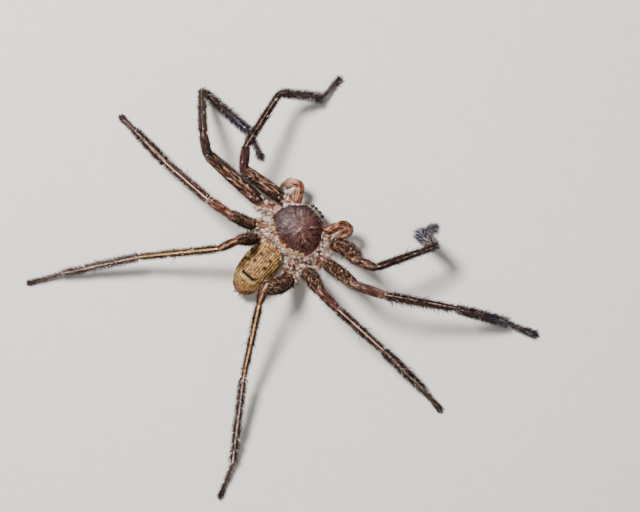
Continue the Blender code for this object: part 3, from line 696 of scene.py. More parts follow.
def joined(skins):
    """Join skins into one mesh."""
    bm = bmesh.new()
    for skin in skins:
        bm.from_mesh(skin["mesh"])
    mesh = bpy.data.meshes.new("joined")
    bm.to_mesh(mesh)
    bm.free()
    return mesh


def points_of(mesh):
    """The places of a mesh's vertices."""
    points = np.zeros((len(mesh.vertices), 3))
    mesh.vertices.foreach_get("co", points.ravel())
    return points


mound = abdomen_place([(0, 16.2, 3.4), (0, 16.7, 3.25)])
spigots = [rounded_tube(mound, [0.66, 0.5], sides=24, spacing=0.2)]
for mirror in (1, -1):
    for height, length in ((0.3, 0.95), (-0.35, 0.8)):
        start = np.array(SPINNERET_ROOT) + (mirror * 0.38, 0, height)
        heading = np.array((mirror * 0.2, 1, 0.25 * height))
        line = [start + heading * step for step in (0, 0.45 * length, 0.55 * length, length)]
        spigots.append(rounded_tube(abdomen_place(line), [0.31, 0.3, 0.26, 0.22], sides=16, spacing=0.12))
mesh = joined(spigots)
paint(mesh, layered("#8a6a66", ("#c9aeb4", lumps(points_of(mesh), 0.4, 2))))
place_piece("spinneret_cluster", mesh, soft_cuticle, "coxae", "spinnerets")
for number, spigot in enumerate(spigots):
    roots = roots_on(spigot, SPIGOT_HAIRS, draw)
    shades = layered("#bfa3a0", ("#5a4038", draw.random(SPIGOT_HAIRS) ** 2))
    lay_hairs(
        f"spinneret_hair_{number}", roots, roots["axis"], shades, body_hair, "coxae",
        lift=22, length=0.4, width=0.06,
    )


# Breastplate and mouth plates: the hard plate between the legs' roots, with the two plates that close the
# mouth in front of it and the feelers' roots at its corners, all of pale brown cuticle with fine hairs.
STERNUM_SECTIONS = (
    (-2.5, 0.9, 3.3, 2.5), (-1.9, 1.7, 3.6, 2.2), (-0.6, 2.4, 3.7, 2.0), (1.0, 2.6, 3.7, 1.95),
    (2.6, 2.2, 3.7, 2.0), (3.8, 1.4, 3.7, 2.3), (4.6, 0.9, 3.7, 2.9),
)
BREASTPLATE_HAIRS = 1200
PLATE_HAIRS = 260


def underside_colours(points, draw=None):
    """Pinkish brown with darker blotches."""
    value = lumps(points, 0.8, 3)
    if draw is not None:
        value = value + draw.normal(0, 0.15, len(points))
    return layered("#4a2f28", ("#b08a7c", ramp(0.2, 0.8, value)))


rings, places, _ = oval_rings(STERNUM_SECTIONS, sides=48, spacing=0.2, room=0.1)
plates = [make_skin(rings, share_along(places), (0.0, 1.0, 0.0))]
for mirror in (1, -1):
    mouth_plate = [(mirror * 0.75, -1.5, 2.75), (mirror * 0.75, -2.5, 2.75)]
    plates.append(rounded_tube(mouth_plate, [0.5, 0.46], sides=20, spacing=0.15))
    feeler_root = [(mirror * 0.9, -1.7, 3.0), (mirror * 2.2, -2.0, 3.25), (mirror * 3.3, -2.3, 3.45)]
    plates.append(rounded_tube(feeler_root, [0.5, 0.62, 0.62], sides=24, spacing=0.15))
waist = [(0, 4.7, 3.6), (0, 6.0, 3.95), (0, 7.3, 4.3)]
plates.append(rounded_tube(waist, [0.5, 0.45, 0.6], sides=20, spacing=0.15))
mesh = joined(plates)
paint(mesh, underside_colours(points_of(mesh)))
place_piece("breastplate_and_mouth", mesh, cuticle, "coxae", "sternum_and_coxae")
for number, plate in enumerate(plates):
    roots = roots_on(plate, BREASTPLATE_HAIRS if number == 0 else PLATE_HAIRS, draw)
    shades = underside_colours(roots["points"], draw)
    lay_hairs(
        f"underside_hair_{number}", roots, roots["axis"], shades, body_hair, "coxae",
        lift=20, length=0.55, width=0.08,
    )


# Jaws: two stout, upright chelicerae under the eyes, dark brown chitin with pale bristles down their
# fronts, each with a short curved fang folded in at its foot.
CHELICERA_SECTIONS = ((5.3, 0.6), (5.0, 0.7), (3.6, 0.74), (2.2, 0.66), (1.5, 0.46))
JAW_LEAN = 0.0875
FANG_CURL = ((0, 0, 0), (-0.15, 0.35, -0.35), (-0.3, 0.75, -0.36), (-0.4, 1.1, -0.22))
FANG_RADII = (0.24, 0.2, 0.12, 0.04)
JAW_HAIRS = 700

# Fang chitin: hard, black-brown and polished by use.
fang_chitin = toned_surface(
    "polished_fang_chitin", "#120806", "#3a1a10", grain=5 / 9, sockets={"Roughness": 0.18}
)

for side, mirror in (("l", 1), ("r", -1)):
    line = [(mirror * 1.02, -3.75 - JAW_LEAN * (5.6 - height), height) for height, _ in CHELICERA_SECTIONS]
    jaw = rounded_tube(line, [radius for _, radius in CHELICERA_SECTIONS], sides=36, spacing=0.15)
    paint(jaw["mesh"], layered("#2c1611", ("#5a3528", lumps(jaw["points"], 0.7, 6))))
    place_piece("jaw_" + side, jaw["mesh"], cuticle, "jaw", "chelicera_" + side)
    ahead = ramp(0.3, -0.3, jaw["normals"][:, 1])
    roots = roots_on(jaw, JAW_HAIRS, draw, 0.2 + ahead)
    shades = layered("#4a3129", ("#d5c3b3", draw.random(JAW_HAIRS) ** 2.2))
    lay_hairs(
        f"jaw_hair_{side}", roots, roots["axis"], shades, body_hair, "jaw", lift=24, length=0.6, width=0.08
    )
    knuckle = np.array((mirror * 1.05, -4.2, 1.5))
    curl = [knuckle + (inward * mirror, back, rise) for inward, back, rise in FANG_CURL]
    fang = rounded_tube(curl, FANG_RADII, sides=20, spacing=0.08)
    place_piece("fang_" + side, fang["mesh"], fang_chitin, "jaw")


# Feelers: two short limbs beside the jaws, bent back on themselves, soft pinkish brown with long pale
# hairs lying along them, and whiter at their ends.
PALP_PATHS = {
    "l": ((3.5, -2.3, 3.5), (5.8, -5.3, 5.4), (7.3, -4.7, 5.2), (7.8, -2.95, 4.3)),
    "r": ((-3.5, -2.4, 3.5), (-5.2, -6.5, 6.6), (-6.9, -6.8, 7.3), (-6.4, -4.8, 7.7)),
}
PALP_RADIUS = 0.74
PALP_SHAPE = ((0, 0.3, 0.55, 0.6, 0.8, 0.95, 1), (0.85, 1, 0.95, 0.85, 1.0, 0.9, 0.7))
PALP_WARMTH = (1.1, 0.84, 0.74)
PALP_SKIN_SHADE = 0.75
PALP_HAIRS = 8000


def line_past(joints, radii, spacing):
    """Places along joined straight pieces with their corners rounded: centre, piece, part of it and turn."""
    joints = [np.asarray(joint, float) for joint in joints]
    steps = [end - start for start, end in zip(joints, joints[1:])]
    sizes = [np.linalg.norm(step) for step in steps]
    ways = [step / size for step, size in zip(steps, sizes)]
    bends = [math.acos(np.clip(first @ second, -1, 1)) for first, second in zip(ways, ways[1:])]
    trims = [0] + [radius * math.tan(bend / 2) for bend, radius in zip(bends, radii)] + [0]
    places = []
    for piece, (start, way, size) in enumerate(zip(joints, ways, sizes)):
        first, last = trims[piece] / size, 1 - trims[piece + 1] / size
        for part in np.linspace(first, last, max(int((last - first) * size / spacing), 3)):
            places.append((start + way * part * size, way, piece, part))
        if piece < len(bends) and bends[piece] > 0.02:
            inward = ways[piece + 1] - way * math.cos(bends[piece])
            inward /= np.linalg.norm(inward)
            hub = joints[piece + 1] - way * trims[piece + 1] + inward * radii[piece]
            count = max(int(bends[piece] / 0.22), 2)
            for step in range(1, count):
                angle = bends[piece] * step / count
                axis = way * math.cos(angle) + inward * math.sin(angle)
                arm = inward * math.cos(angle) - way * math.sin(angle)
                belongs = piece if step < count / 2 else piece + 1
                part = 1.0 if step < count / 2 else 0.0
                places.append((hub - arm * radii[piece], axis, belongs, part))
    return places


def palp_colours(side, along, turn, draw=None):
    """Pinkish brown with pale lines, whiter at the end of the left feeler."""
    value = lumps(np.stack([along * 9, turn * 1.1, turn * 0], 1), (1.0, 0.2, 1.0), 2)
    if draw is not None:
        value = value + draw.normal(0, 0.1, len(along))
    end = ramp(0.56, 0.66, along) * (0.8 if side == "l" else 0.1) * ramp(1.3, 0.8, np.abs(turn))
    return layered(
        "#230f0a",
        ("#7d452c", ramp(0.32, 0.56, value)),
        ("#e6cdb8", ramp(0.66, 0.76, value)),
        ("#e9d8c8", end * ramp(0.35, 0.55, value)),
    ) * PALP_WARMTH


for side in "lr":
    corners = [PALP_RADIUS * 1.05] * 2
    course = line_past(PALP_PATHS[side], corners, 0.16)
    centres = np.array([place[0] for place in course])
    part = share_along(travelled(centres))
    radii = PALP_RADIUS * np.interp(part, *PALP_SHAPE)
    palp = rounded_tube(centres, radii, sides=28, spacing=0.16)
    paint(palp["mesh"], palp_colours(side, palp["along"], palp["turn"]) * PALP_SKIN_SHADE)
    nodes = [f"palp_{side}_{name}" for name in ("femur", "tibia", "tarsus")]
    place_piece("feeler_" + side, palp["mesh"], cuticle, "palp", *nodes)
    roots = roots_on(palp, PALP_HAIRS, draw)
    shades = palp_colours(side, roots["along"] + 0.03, roots["turn"], draw)
    lay_hairs(
        "feeler_coat_" + side, roots, roots["axis"], shades, body_hair, "palp",
        lift=22, length=0.85, width=0.085, lean=0.2, fine=True,
    )


# Legs: eight long limbs of seven jointed tubes, sprawled sideways and flat like a crab's. Dark brown
# cuticle under flat hairs, marked with cream lines, rusty arcs and white dots. The hip pieces wear long
# white tufts. Each leg is one skin from the breastplate to its claws, pinched in at every joint.
HIP, THIGH, KNEE, SHIN, ANKLE, FOOT = range(6)
LEG_NODES = ("femur", "patella", "tibia", "metatarsus", "tarsus")
# Where the hip is, then length, heading and slope of thigh, knee, shin and ankle piece, then length and
# heading of the foot, which slopes down to the floor
LEG_POSES = {
    "l1": ((5.4, -1.6), (12.1, 12.5, 36), (4.7, -50.5, 28.5), (12.6, -73, -18),
           (10.8, -133.5, -42.5), (5.1, -84)),
    "l2": ((7.0, 2.2), (15.7, 6, 21), (6.0, -35.5, 53), (13.8, -35.5, -47.5),
           (12.1, -173.5, -12.5), (5.5, 162.5)),
    "l3": ((5.9, 6.2), (10.2, 22.5, 62.5), (4.9, 13, 7.5), (12.8, 7.5, -30), (10.7, 3, -32), (4.0, 3.5)),
    "l4": ((4.1, 7.8), (10.8, 54, 75.5), (4.3, 72, -24.5), (16.4, 53.5, -19), (16.7, 59.5, -19), (6.9, 63.5)),
    "r1": ((-5.9, -2.4), (11.4, -167.5, 58), (4.2, -154.5, 32), (12.3, -113, -16),
           (10.2, -1, -70), (4.0, -112)),
    "r2": ((-7.8, 1.2), (13.7, -168, 58.5), (5.8, -151, 6), (14.8, -143, -22),
           (13.6, -148, -36.5), (6.4, -155)),
    "r3": ((-6.6, 4.8), (10.4, 174.5, 63.5), (4.9, -177.5, 4.5), (13.0, -174.5, -26.5),
           (12.4, -177, -28), (5.7, 178)),
    "r4": ((-5.8, 7.4), (11.3, 67.5, 63.5), (3.8, 120, -25), (15.6, 125, -21),
           (17.6, 130, -16.5), (7.2, 117.5)),
}
COXA_ROOTS = {"1": (1.5, -1.0), "2": (1.9, 0.5), "3": (1.9, 2.2), "4": (1.3, 3.6)}
HIP_HEIGHT = 3.9
FOOT_HEIGHT = 0.36
FEMUR_RADIUS = 1.2
LEG_STOUTNESS = {"1": 1.0, "2": 1.0, "3": 0.95, "4": 0.9}
THIGH_STOUTNESS = {
    "l1": 1.12, "l2": 1.08, "l3": 1.0, "l4": 1.0, "r1": 1.27, "r2": 1.12, "r3": 1.15, "r4": 1.35,
}
THIGH_BOWS = {"r1": (-0.06, -0.6, 0), "r2": (0.05, -0.25, 0), "r3": (-0.06, -0.28, 0), "r4": (-0.8, 0.5, 0)}
JOINT_PINCH = 0.13
PINCH_LENGTH = 0.42
# How far the rounded end of a foot reaches past its tip, and how thick it is there, as shares of its radius
FOOT_END = ((0.45, 0.85), (0.8, 0.5))
# Radii along each piece from hip to foot, as shares of the thigh's
LEG_SHAPES = (
    ((0.0, 0.7), (0.4, 0.88), (0.9, 0.84), (1.0, 0.8)),
    ((0.0, 0.78), (0.05, 0.82), (0.09, 0.72), (0.2, 0.95), (0.4, 1.0), (0.75, 0.92), (1.0, 0.8)),
    ((0.0, 0.78), (0.5, 0.84), (1.0, 0.72)),
    ((0.0, 0.62), (0.1, 0.68), (0.5, 0.64), (1.0, 0.54)),
    ((0.0, 0.48), (0.5, 0.46), (1.0, 0.38)),
    ((0.0, 0.36), (0.6, 0.37), (1.0, 0.4)),
)
# How strong the cream line along a shin is, how wide it is and how far off the top, in radians about the
# leg, how strong the pale ring at the end of the knee piece is, and the knee piece's dark and light colours
LEG_MARKS = {
    "l1": (0.4, 0.12, 0.0, 0.4, "#150a0c", "#402327"), "l2": (0.25, 0.12, 0.0, 0.0, "#100d0e", "#3e302b"),
    "l3": (0.95, 0.16, 0.1, 0.6, "#241210", "#643f35"), "l4": (1.0, 0.22, 0.0, 0.4, "#1c0d08", "#5e3826"),
    "r1": (0.3, 0.12, 0.0, 0.3, "#1b0e0b", "#553a31"), "r2": (0.8, 0.13, 0.3, 0.6, "#241211", "#755650"),
    "r3": (1.0, 0.16, 0.1, 0.7, "#241210", "#6c463a"), "r4": (1.0, 0.26, 0.0, 0.5, "#260f09", "#6e4230"),
}
# Thighs are streaked lengthwise on the first two left legs and banded with arcs on the others: light tone
# of the ground, strength of arcs, specks and streaks, where a speck begins, and the size of the streaks
STREAKED_LEGS = ("l1", "l2")
STREAKED_THIGH = ("#38231c", 0.12, 0.4, 0.75, 0.76, (1.9, 0.075, 1.0))
BANDED_THIGH = ("#362019", 0.65, 0.9, 0.3, 0.72, (1.3, 0.11, 1.0))
# How strong the pale line is on the ankle piece, and the blue of the hairs there
ANKLE_LINES = {"1": 0.2, "2": 0.3, "3": 0.35, "4": 0.95}
ANKLE_BLUES = {"l1": 0.2, "l2": 0.9, "r1": 0.7, "r2": 0.7}
LEG_WARMTH = (1.06, 0.79, 0.67)
LEG_SKIN_SHADE = 0.8


def way_of(heading, slope):
    """The direction with a heading from +X and a slope above the floor, both in degrees."""
    flat = math.cos(math.radians(slope))
    across, back = flat * math.cos(math.radians(heading)), flat * math.sin(math.radians(heading))
    return np.array((across, back, math.sin(math.radians(slope))))


def leg_joints(leg):
    """The breastplate end, hip and joints of a leg, out to the tip of its foot."""
    hip, *bends, (foot_length, foot_heading) = LEG_POSES[leg]
    mirror = 1 if leg[0] == "l" else -1
    across, back = COXA_ROOTS[leg[1]]
    joints = [np.array((mirror * across, back, 0.8 * HIP_HEIGHT)), np.array((hip[0], hip[1], HIP_HEIGHT))]
    for length, heading, slope in bends:
        joints.append(joints[-1] + way_of(heading, slope) * length)
    drop = math.degrees(math.asin((joints[-1][2] - FOOT_HEIGHT) / foot_length))
    joints.append(joints[-1] + way_of(foot_heading, -drop) * foot_length)
    return joints


def thigh_bow(leg, part):
    """How far a thigh bows away from its straight line at a part of it."""
    return np.array(THIGH_BOWS.get(leg, (0, 0, 0))) * math.sin(math.pi * part)


def leg_radius(leg, piece, part):
    """The radius of a leg's skin at a part of one of its pieces."""
    stout = (1.0, THIGH_STOUTNESS[leg])[piece] if piece < KNEE else LEG_STOUTNESS[leg[1]]
    shape = np.array(LEG_SHAPES[piece])
    return np.interp(part, shape[:, 0], shape[:, 1]) * FEMUR_RADIUS * stout - COAT_DEPTH


def leg_skin(leg):
    """One skin from hip to claw, with each place's piece of the leg and part of that piece."""
    joints = leg_joints(leg)
    corners = [1.06 * leg_radius(leg, piece, 1.0) for piece in range(FOOT)]
    course = line_past(joints, corners, 0.26)
    centres, axes, pieces, parts = (np.array(column) for column in zip(*course))
    bows = np.array([thigh_bow(leg, part) * (piece == THIGH) for piece, part in zip(pieces, parts)])
    centres = centres + bows
    radii = np.array([leg_radius(leg, piece, part) for piece, part in zip(pieces, parts)])
    radii[1:-1] = (radii[:-2] + 2 * radii[1:-1] + radii[2:]) / 4
    for joint in joints[1:-1]:
        gap = np.linalg.norm(centres - joint, axis=1)
        radii *= 1 - JOINT_PINCH * np.exp(-((gap / PINCH_LENGTH) ** 2))
    travel = travelled(centres)
    way = (centres[-1] - centres[-2]) / np.linalg.norm(centres[-1] - centres[-2])
    last = radii[-1]
    for reach, size in FOOT_END:
        centres = np.vstack([centres, joints[-1] + way * reach * last])
        radii = np.append(radii, size * last)
    thigh = pieces == THIGH
    swing = np.array(THIGH_BOWS.get(leg, (0, 0, 0))) * math.pi / np.linalg.norm(joints[2] - joints[1])
    axes[thigh] += np.cos(np.pi * parts[thigh])[:, None] * swing
    axes = np.vstack([axes / np.linalg.norm(axes, axis=1)[:, None], way, way])
    travel = np.append(travel, [travel[-1] + 0.15, travel[-1] + 0.3])
    skin = make_skin(round_rings(centres, axes, radii, sides=28), travel, axes, centres)
    skin["travel"] = travel
    skin["pieces"] = np.append(pieces, [FOOT, FOOT])
    skin["parts"] = np.append(parts, [1.0, 1.0])
    return skin


def piece_at(skin, travel):
    """Which piece of the leg a place belongs to, and which part of it."""
    whole = skin["pieces"] + np.clip(skin["parts"], 0.001, 0.999)
    value = np.interp(travel, skin["travel"], whole)
    return np.floor(value).astype(int), value - np.floor(value)


def leg_colours(leg, skin, travel, turn, draw=None):
    """The markings of a leg: arcs and streaks on the thigh, lines on knee and shin, a dark foot."""
    piece, part = piece_at(skin, travel)
    front, hindmost = leg[1] in "12", leg[1] == "4"
    streaked = leg in STREAKED_LEGS
    looks = STREAKED_THIGH if streaked else BANDED_THIGH
    light, arc_share, speck_share, streak_share, speck_start, strand = looks
    line, breadth, off_top, ring, knee_dark, knee_light = LEG_MARKS[leg]
    count = len(travel)
    jitter = draw.normal(0, 1, count) if draw is not None else np.zeros(count)
    flow = np.stack([travel, turn * 0.9, np.zeros(count)], 1)
    blotch = lumps(flow, (1.3, 0.8, 1.0), 3)
    fine = lumps(flow, (0.36, 0.15, 1.0), 5) + 0.05 * jitter
    strands = lumps(flow, strand, 21) + 0.03 * jitter
    specks = lumps(flow, (0.34, 0.14, 1.0), 9) + 0.02 * jitter
    steep = np.abs(turn)
    off_line = np.abs(turn - off_top)
    knee_start, knee_end = (
        np.abs(travel - np.interp(number, skin["pieces"] + skin["parts"], skin["travel"]))
        for number in (KNEE, SHIN)
    )

    hip = layered(
        "#341c14",
        ("#966b58", ramp(0.36, 0.58, fine + 0.3 * (blotch - 0.5))),
        ("#f0e2d8", ramp(0.6, 0.7, strands)),
    )
    arcs = 0.5 + 0.5 * np.cos(2 * np.pi * travel / 0.8 + 2.4 * np.cos(turn + 0.5) + 9 * blotch)
    rusty = streaked * ramp(0.55, 0.66, blotch) * ramp(0.3, 0.15, np.abs(part - 0.55))
    thigh = layered(
        "#080404",
        (light, ramp(0.48, 0.7, fine)),
        ("#9c744a", arc_share * ramp(0.86, 0.99, arcs + 0.03 * jitter) * ramp(0.42, 0.58, blotch)),
        ("#84502e", 0.16 * rusty),
        ("#dccab2", speck_share * ramp(speck_start, 0.8, specks)),
        ("#d2b8a4", streak_share * ramp(0.72, 0.79, strands) * ramp(0.1, 0.35, part)),
        ("#e8d8ce", 0.6 * ramp(0.22, 0.1, knee_start) * ramp(0.5, 0.62, fine)),
    )

    cream = "#f4dc98" if hindmost else "#f6e8dc"
    knee_lines = 0.15 if streaked else 0.3 + 0.5 * ring
    oval = ((part - 0.5) / 0.34) ** 2 + (turn / 0.6) ** 2
    knee_stripe = ramp(0.26, 0.14, off_line + 0.1 * (blotch - 0.5))
    knee = layered(
        knee_dark,
        (knee_light, ramp(0.38, 0.62, fine + 0.2 * (blotch - 0.5))),
        ("#d3b9ae", knee_lines * ramp(0.62, 0.72, strands)),
        ("#3a1712", 0.7 * (leg in ("r2", "r3", "l3")) * ramp(1.1, 0.7, oval)),
        ("#ecdad0", ring * ramp(0.26, 0.12, knee_end + 0.05 * np.cos(2 * turn))),
        (cream, 0.8 * hindmost * knee_stripe * ramp(0.35, 0.5, fine)),
    )

    broken = 0.25 * (line - 0.15) * (leg not in ("r2", "r1"))
    ridge = ramp(0.3, 0.5, lumps(flow * (1, 0, 0), 0.5, 12) + broken)
    ridge = ridge * ramp(breadth + 0.04, breadth - 0.05, off_line + 0.02 * jitter)
    side_line = np.min([np.abs(turn - other) for other in (-1.1, -0.62, 0.62, 1.1)], axis=0)
    side_share, speckle_share = (0.4, 0.3) if front else (0.75, 0.6)
    shin = layered(
        "#0e0505",
        ("#4a261b", ramp(0.46, 0.7, fine)),
        ("#7a3f26", 0.8 * ramp(0.9, 1.4, steep) * ramp(0.45, 0.6, blotch + 0.05 * jitter)),
        ("#c3a595", side_share * ramp(0.11, 0.04, side_line) * ramp(0.53, 0.62, strands)),
        ("#070303", 0.9 * ramp(breadth, breadth + 0.08, off_line) * ramp(0.6, 0.48, off_line)),
        (cream, line * ridge * 1.1),
        ("#d8c2b4", speckle_share * ramp(0.74, 0.81, specks)),
    )

    blues = layered("#0a0c16", ("#323f62", fine))
    upper = ramp(0.9, 0.4, steep) * (not front)
    # The line and the specks here are whiter than white, because the warming that follows tints them
    ankle = layered(
        "#0e0707",
        ("#4c2d26", ramp(0.42, 0.66, fine)),
        (blues, ANKLE_BLUES.get(leg, 0) * ramp(0.35, 0.85, part)),
        (linear("#f0f2fa") * 1.4, ridge * ANKLE_LINES[leg[1]] * ramp(0.4, 0.5, fine)),
        ("#a79aa8" if front else "#c9a896", 0.8 * ramp(0.62, 0.7, strands)),
        (linear("#f0f0f6") * 1.3, 0.9 * upper * ramp(0.56, 0.62, specks) * ramp(0.5, 0.56, fine)),
    )
    foot = layered(
        "#0f0a0c",
        ("#4a3837", ramp(0.42, 0.66, fine)),
        ("#b8a9b4" if front else "#b39c92", 0.5 * ramp(0.62, 0.7, strands)),
    )
    owned = [piece[:, None] == number for number in range(6)]
    colours = np.select(owned, [hip, thigh, knee, shin, ankle, foot])
    return layered(colours, (hip, (piece == THIGH) * ramp(0.13, 0.07, part))) * LEG_WARMTH


def by_piece(piece, *values):
    """A value for each place, from one for each piece of the leg from hip to foot."""
    return np.interp(piece, range(6), values)


def lay_on_leg(name, skin, roots, lie, colours, material, slot, **build):
    """Lay hairs on a leg, whose roots' places along it are turned from millimetres into shares."""
    roots["along"] = roots["along"] / skin["travel"][-1]
    lay_hairs(name, roots, lie, colours, material, slot, **build)


# Bristle chitin: stiff dark spines, hollow and slightly shiny.
bristle = marked_surface(
    "bristle_chitin", roughness=0.45, grain=0.4, relief=0.01, contrast=0.2, specular=0.25
)

LEG_HAIRS = 21500
FRONT_BRISTLES = 3100
HIND_BRISTLES = 2600
HIP_TUFTS = 110
DOTS = {THIGH: 9, KNEE: 2, SHIN: 8, ANKLE: 5}


def leg_coat(leg, skin, draw):
    """Short hairs lying flat along the whole leg, fewer of them underneath."""
    owner, _ = piece_at(skin, skin["along"])
    chance = by_piece(owner, 0.9, 1.0, 1.0, 1.0, 1.1, 1.3) * (1 - 0.5 * ramp(1.9, 2.5, np.abs(skin["turn"])))
    roots = roots_on(skin, LEG_HAIRS, draw, chance)
    piece, part = piece_at(skin, roots["along"])
    sizes = by_piece(piece, 0.85, 0.62, 0.6, 0.6, 0.6, 0.45) * (1 - 0.4 * ramp(0.9, 0.97, part))
    shades = leg_colours(leg, skin, roots["along"] + 0.35 * sizes, roots["turn"], draw)
    lay_on_leg(
        "leg_coat_" + leg, skin, roots, roots["axis"], shades, body_hair, "leg",
        lift=by_piece(piece, 20, 17, 14, 14, 15, 14), length=sizes,
        width=by_piece(piece, 0.09, 0.085, 0.08, 0.075, 0.07, 0.065), lean=0.12, fine=True,
    )


def leg_fringe(leg, skin, draw):
    """Bristles that stand out from both sides, and all round the ends of the front legs."""
    owner, part_of = piece_at(skin, skin["along"])
    front = leg[1] in "12"
    steep = np.abs(skin["turn"])
    beside = ramp(1.0, 1.4, steep) * ramp(2.5, 2.0, steep)
    beside = beside * by_piece(owner, 0, 0.2, 0.4, 0.9, 1.7, 1.6)
    facing = {"l1": 1, "l2": -1}.get(leg, 0) * skin["turn"]
    beside = beside + 2.2 * (owner == THIGH) * ramp(0.7, 1.1, facing) * ramp(2.4, 2.0, facing)
    if leg == "r1":
        bushy = (owner == THIGH) * ramp(0.35, 0.5, part_of) * ramp(0.95, 0.85, part_of)
        beside = beside + 1.6 * (bushy * ramp(0.5, 0.9, skin["turn"])) + 1.2 * (owner >= ANKLE)
    all_round = front * by_piece(owner, 0, 0, 0, 0.05, 0.3, 0.4)
    all_round = all_round + 0.7 * (owner == FOOT) * ramp(0.7, 0.95, part_of)
    count = FRONT_BRISTLES if front else HIND_BRISTLES
    roots = roots_on(skin, count, draw, beside + all_round + 0.02 * (owner > HIP))

    piece, part = piece_at(skin, roots["along"])
    sizes = by_piece(piece, 0.8, 0.7, 0.6, 0.75, 1.1, 0.75)
    sizes = sizes * np.where((piece == ANKLE) & front, 0.8 + 0.5 * part, 1.0)
    sizes = sizes * np.where((piece == FOOT) & front, 0.8 + 0.6 * part, 1.0)
    longest = (leg == "r1") & ((piece >= ANKLE) | (roots["turn"] > 0.5) & (piece == THIGH))
    sizes = sizes * np.where(longest, 1.25, 1.0)
    shades = layered("#0d0606", ("#4b2c22", draw.random(count) ** 2.5), ("#3a2018", 0.6 * (piece == THIGH)))
    if front:
        bluish = layered("#080912", ("#2c3868", draw.random(count) ** 2))
        share = {"l1": 0.25, "r1": 1.0}.get(leg, 0.8)
        start = 0.1 if leg == "r1" else 0.4
        far = (piece == ANKLE) * ramp(start, start + 0.4, part) + (piece == FOOT) * 0.6
        shades = layered(shades, (bluish, share * far))
    shades = layered(shades, ("#d5c5bb", (draw.random(count) > 0.95) * 0.9))
    # Painted glints: on the right front leg some bristles of thigh, ankle piece and foot are coloured pale
    # lilac and gold as light catching on them
    if leg == "r1":
        painted_glints = layered("#b4a6cc", ("#e9dcb4", draw.random(count)))
        picked = (draw.random(count) > 0.86) * 0.9 * ((piece >= ANKLE) | (piece == THIGH))
        shades = layered(shades, (painted_glints, picked))
    lay_on_leg(
        "leg_fringe_" + leg, skin, roots, roots["axis"], shades, bristle, "leg",
        lift=56, length=sizes, width=by_piece(piece, 0.07, 0.06, 0.06, 0.06, 0.095, 0.08), droop=0.8,
    )


def hip_tufts(leg, skin, draw):
    """Long white tufts around the hip and the foot of the thigh, standing out more at the sides."""
    owner, part_of = piece_at(skin, skin["along"])
    hips = (owner == HIP) * ramp(0.25, 0.5, part_of) + (owner == THIGH) * ramp(0.13, 0.06, part_of)
    chance = hips * (0.5 + ramp(2.6, 1.2, np.abs(skin["turn"])))
    roots = in_tufts(roots_on(skin, HIP_TUFTS, draw, chance), draw, size=9, spread=0.1, spray=0.8)
    shades = layered(
        "#f9e9da", ("#a87258", ramp(0.3, 0.5, roots["shade"])), ("#4a2a20", ramp(0.68, 0.8, roots["shade"]))
    )
    sideways = ramp(0.6, 1.3, np.abs(roots["turn"]))
    lay_on_leg(
        "hip_tufts_" + leg, skin, roots, roots["axis"] + roots["spray"], shades, body_hair, "coxae",
        lift=24 + 30 * sideways, length=1.2 + 0.6 * sideways, width=0.07, lean=0.14,
    )


def white_dots(leg, skin, draw):
    """White dots over the upper side, each a small tuft."""
    owner, _ = piece_at(skin, skin["along"])
    upper = ramp(1.7, 1.2, np.abs(skin["turn"]))
    fewer = 2 if leg in ("l1", "l2", "r1") else 1
    dots = [
        roots_on(skin, many // (fewer if place > THIGH else 1), draw, upper * (owner == place))
        for place, many in DOTS.items()
    ]
    roots = {name: np.concatenate([dot[name] for dot in dots]) for name in dots[0]}
    roots = in_tufts(roots, draw, size=8, spread=0.055, spray=0.1)
    shades = layered("#fbf6f0", ("#c9b4a8", roots["shade"] ** 2))
    lay_on_leg(
        "white_dots_" + leg, skin, roots, roots["axis"], shades, body_hair, "leg",
        lift=18, length=0.5 if leg in STREAKED_LEGS else 0.4, width=0.08, lean=0.12,
    )


for number, leg in enumerate(LEG_POSES):
    skin = leg_skin(leg)
    paint(skin["mesh"], leg_colours(leg, skin, skin["along"], skin["turn"]) * LEG_SKIN_SHADE)
    nodes = [f"leg_{leg}_{name}" for name in LEG_NODES]
    place_piece("leg_skin_" + leg, skin["mesh"], cuticle, "leg", *nodes)
    draw = np.random.default_rng(40 + number)
    for dress in (leg_coat, leg_fringe, hip_tufts, white_dots):
        dress(leg, skin, draw)


# Spines: long stiff bristles in pairs on thigh, shin and foot, each in its own socket, leaning towards
# the foot and ending in a fine point, and combs of finer ones that stand out along both sides of the shins.
SPINE_LENGTH = 2.1
SPINE_WIDTH = 0.2
SPINE_LIFT = 42
# Part of the piece that each spine stands at, and degrees from its top
SPINES = {
    THIGH: ((0.45, 0), (0.62, 62), (0.62, -62), (0.8, 0)),
    SHIN: ((0.3, 140), (0.3, -140), (0.52, 78), (0.52, -78), (0.72, 145), (0.72, -145)),
    ANKLE: ((0.25, 130), (0.25, -130), (0.5, 80), (0.5, -80)),
}
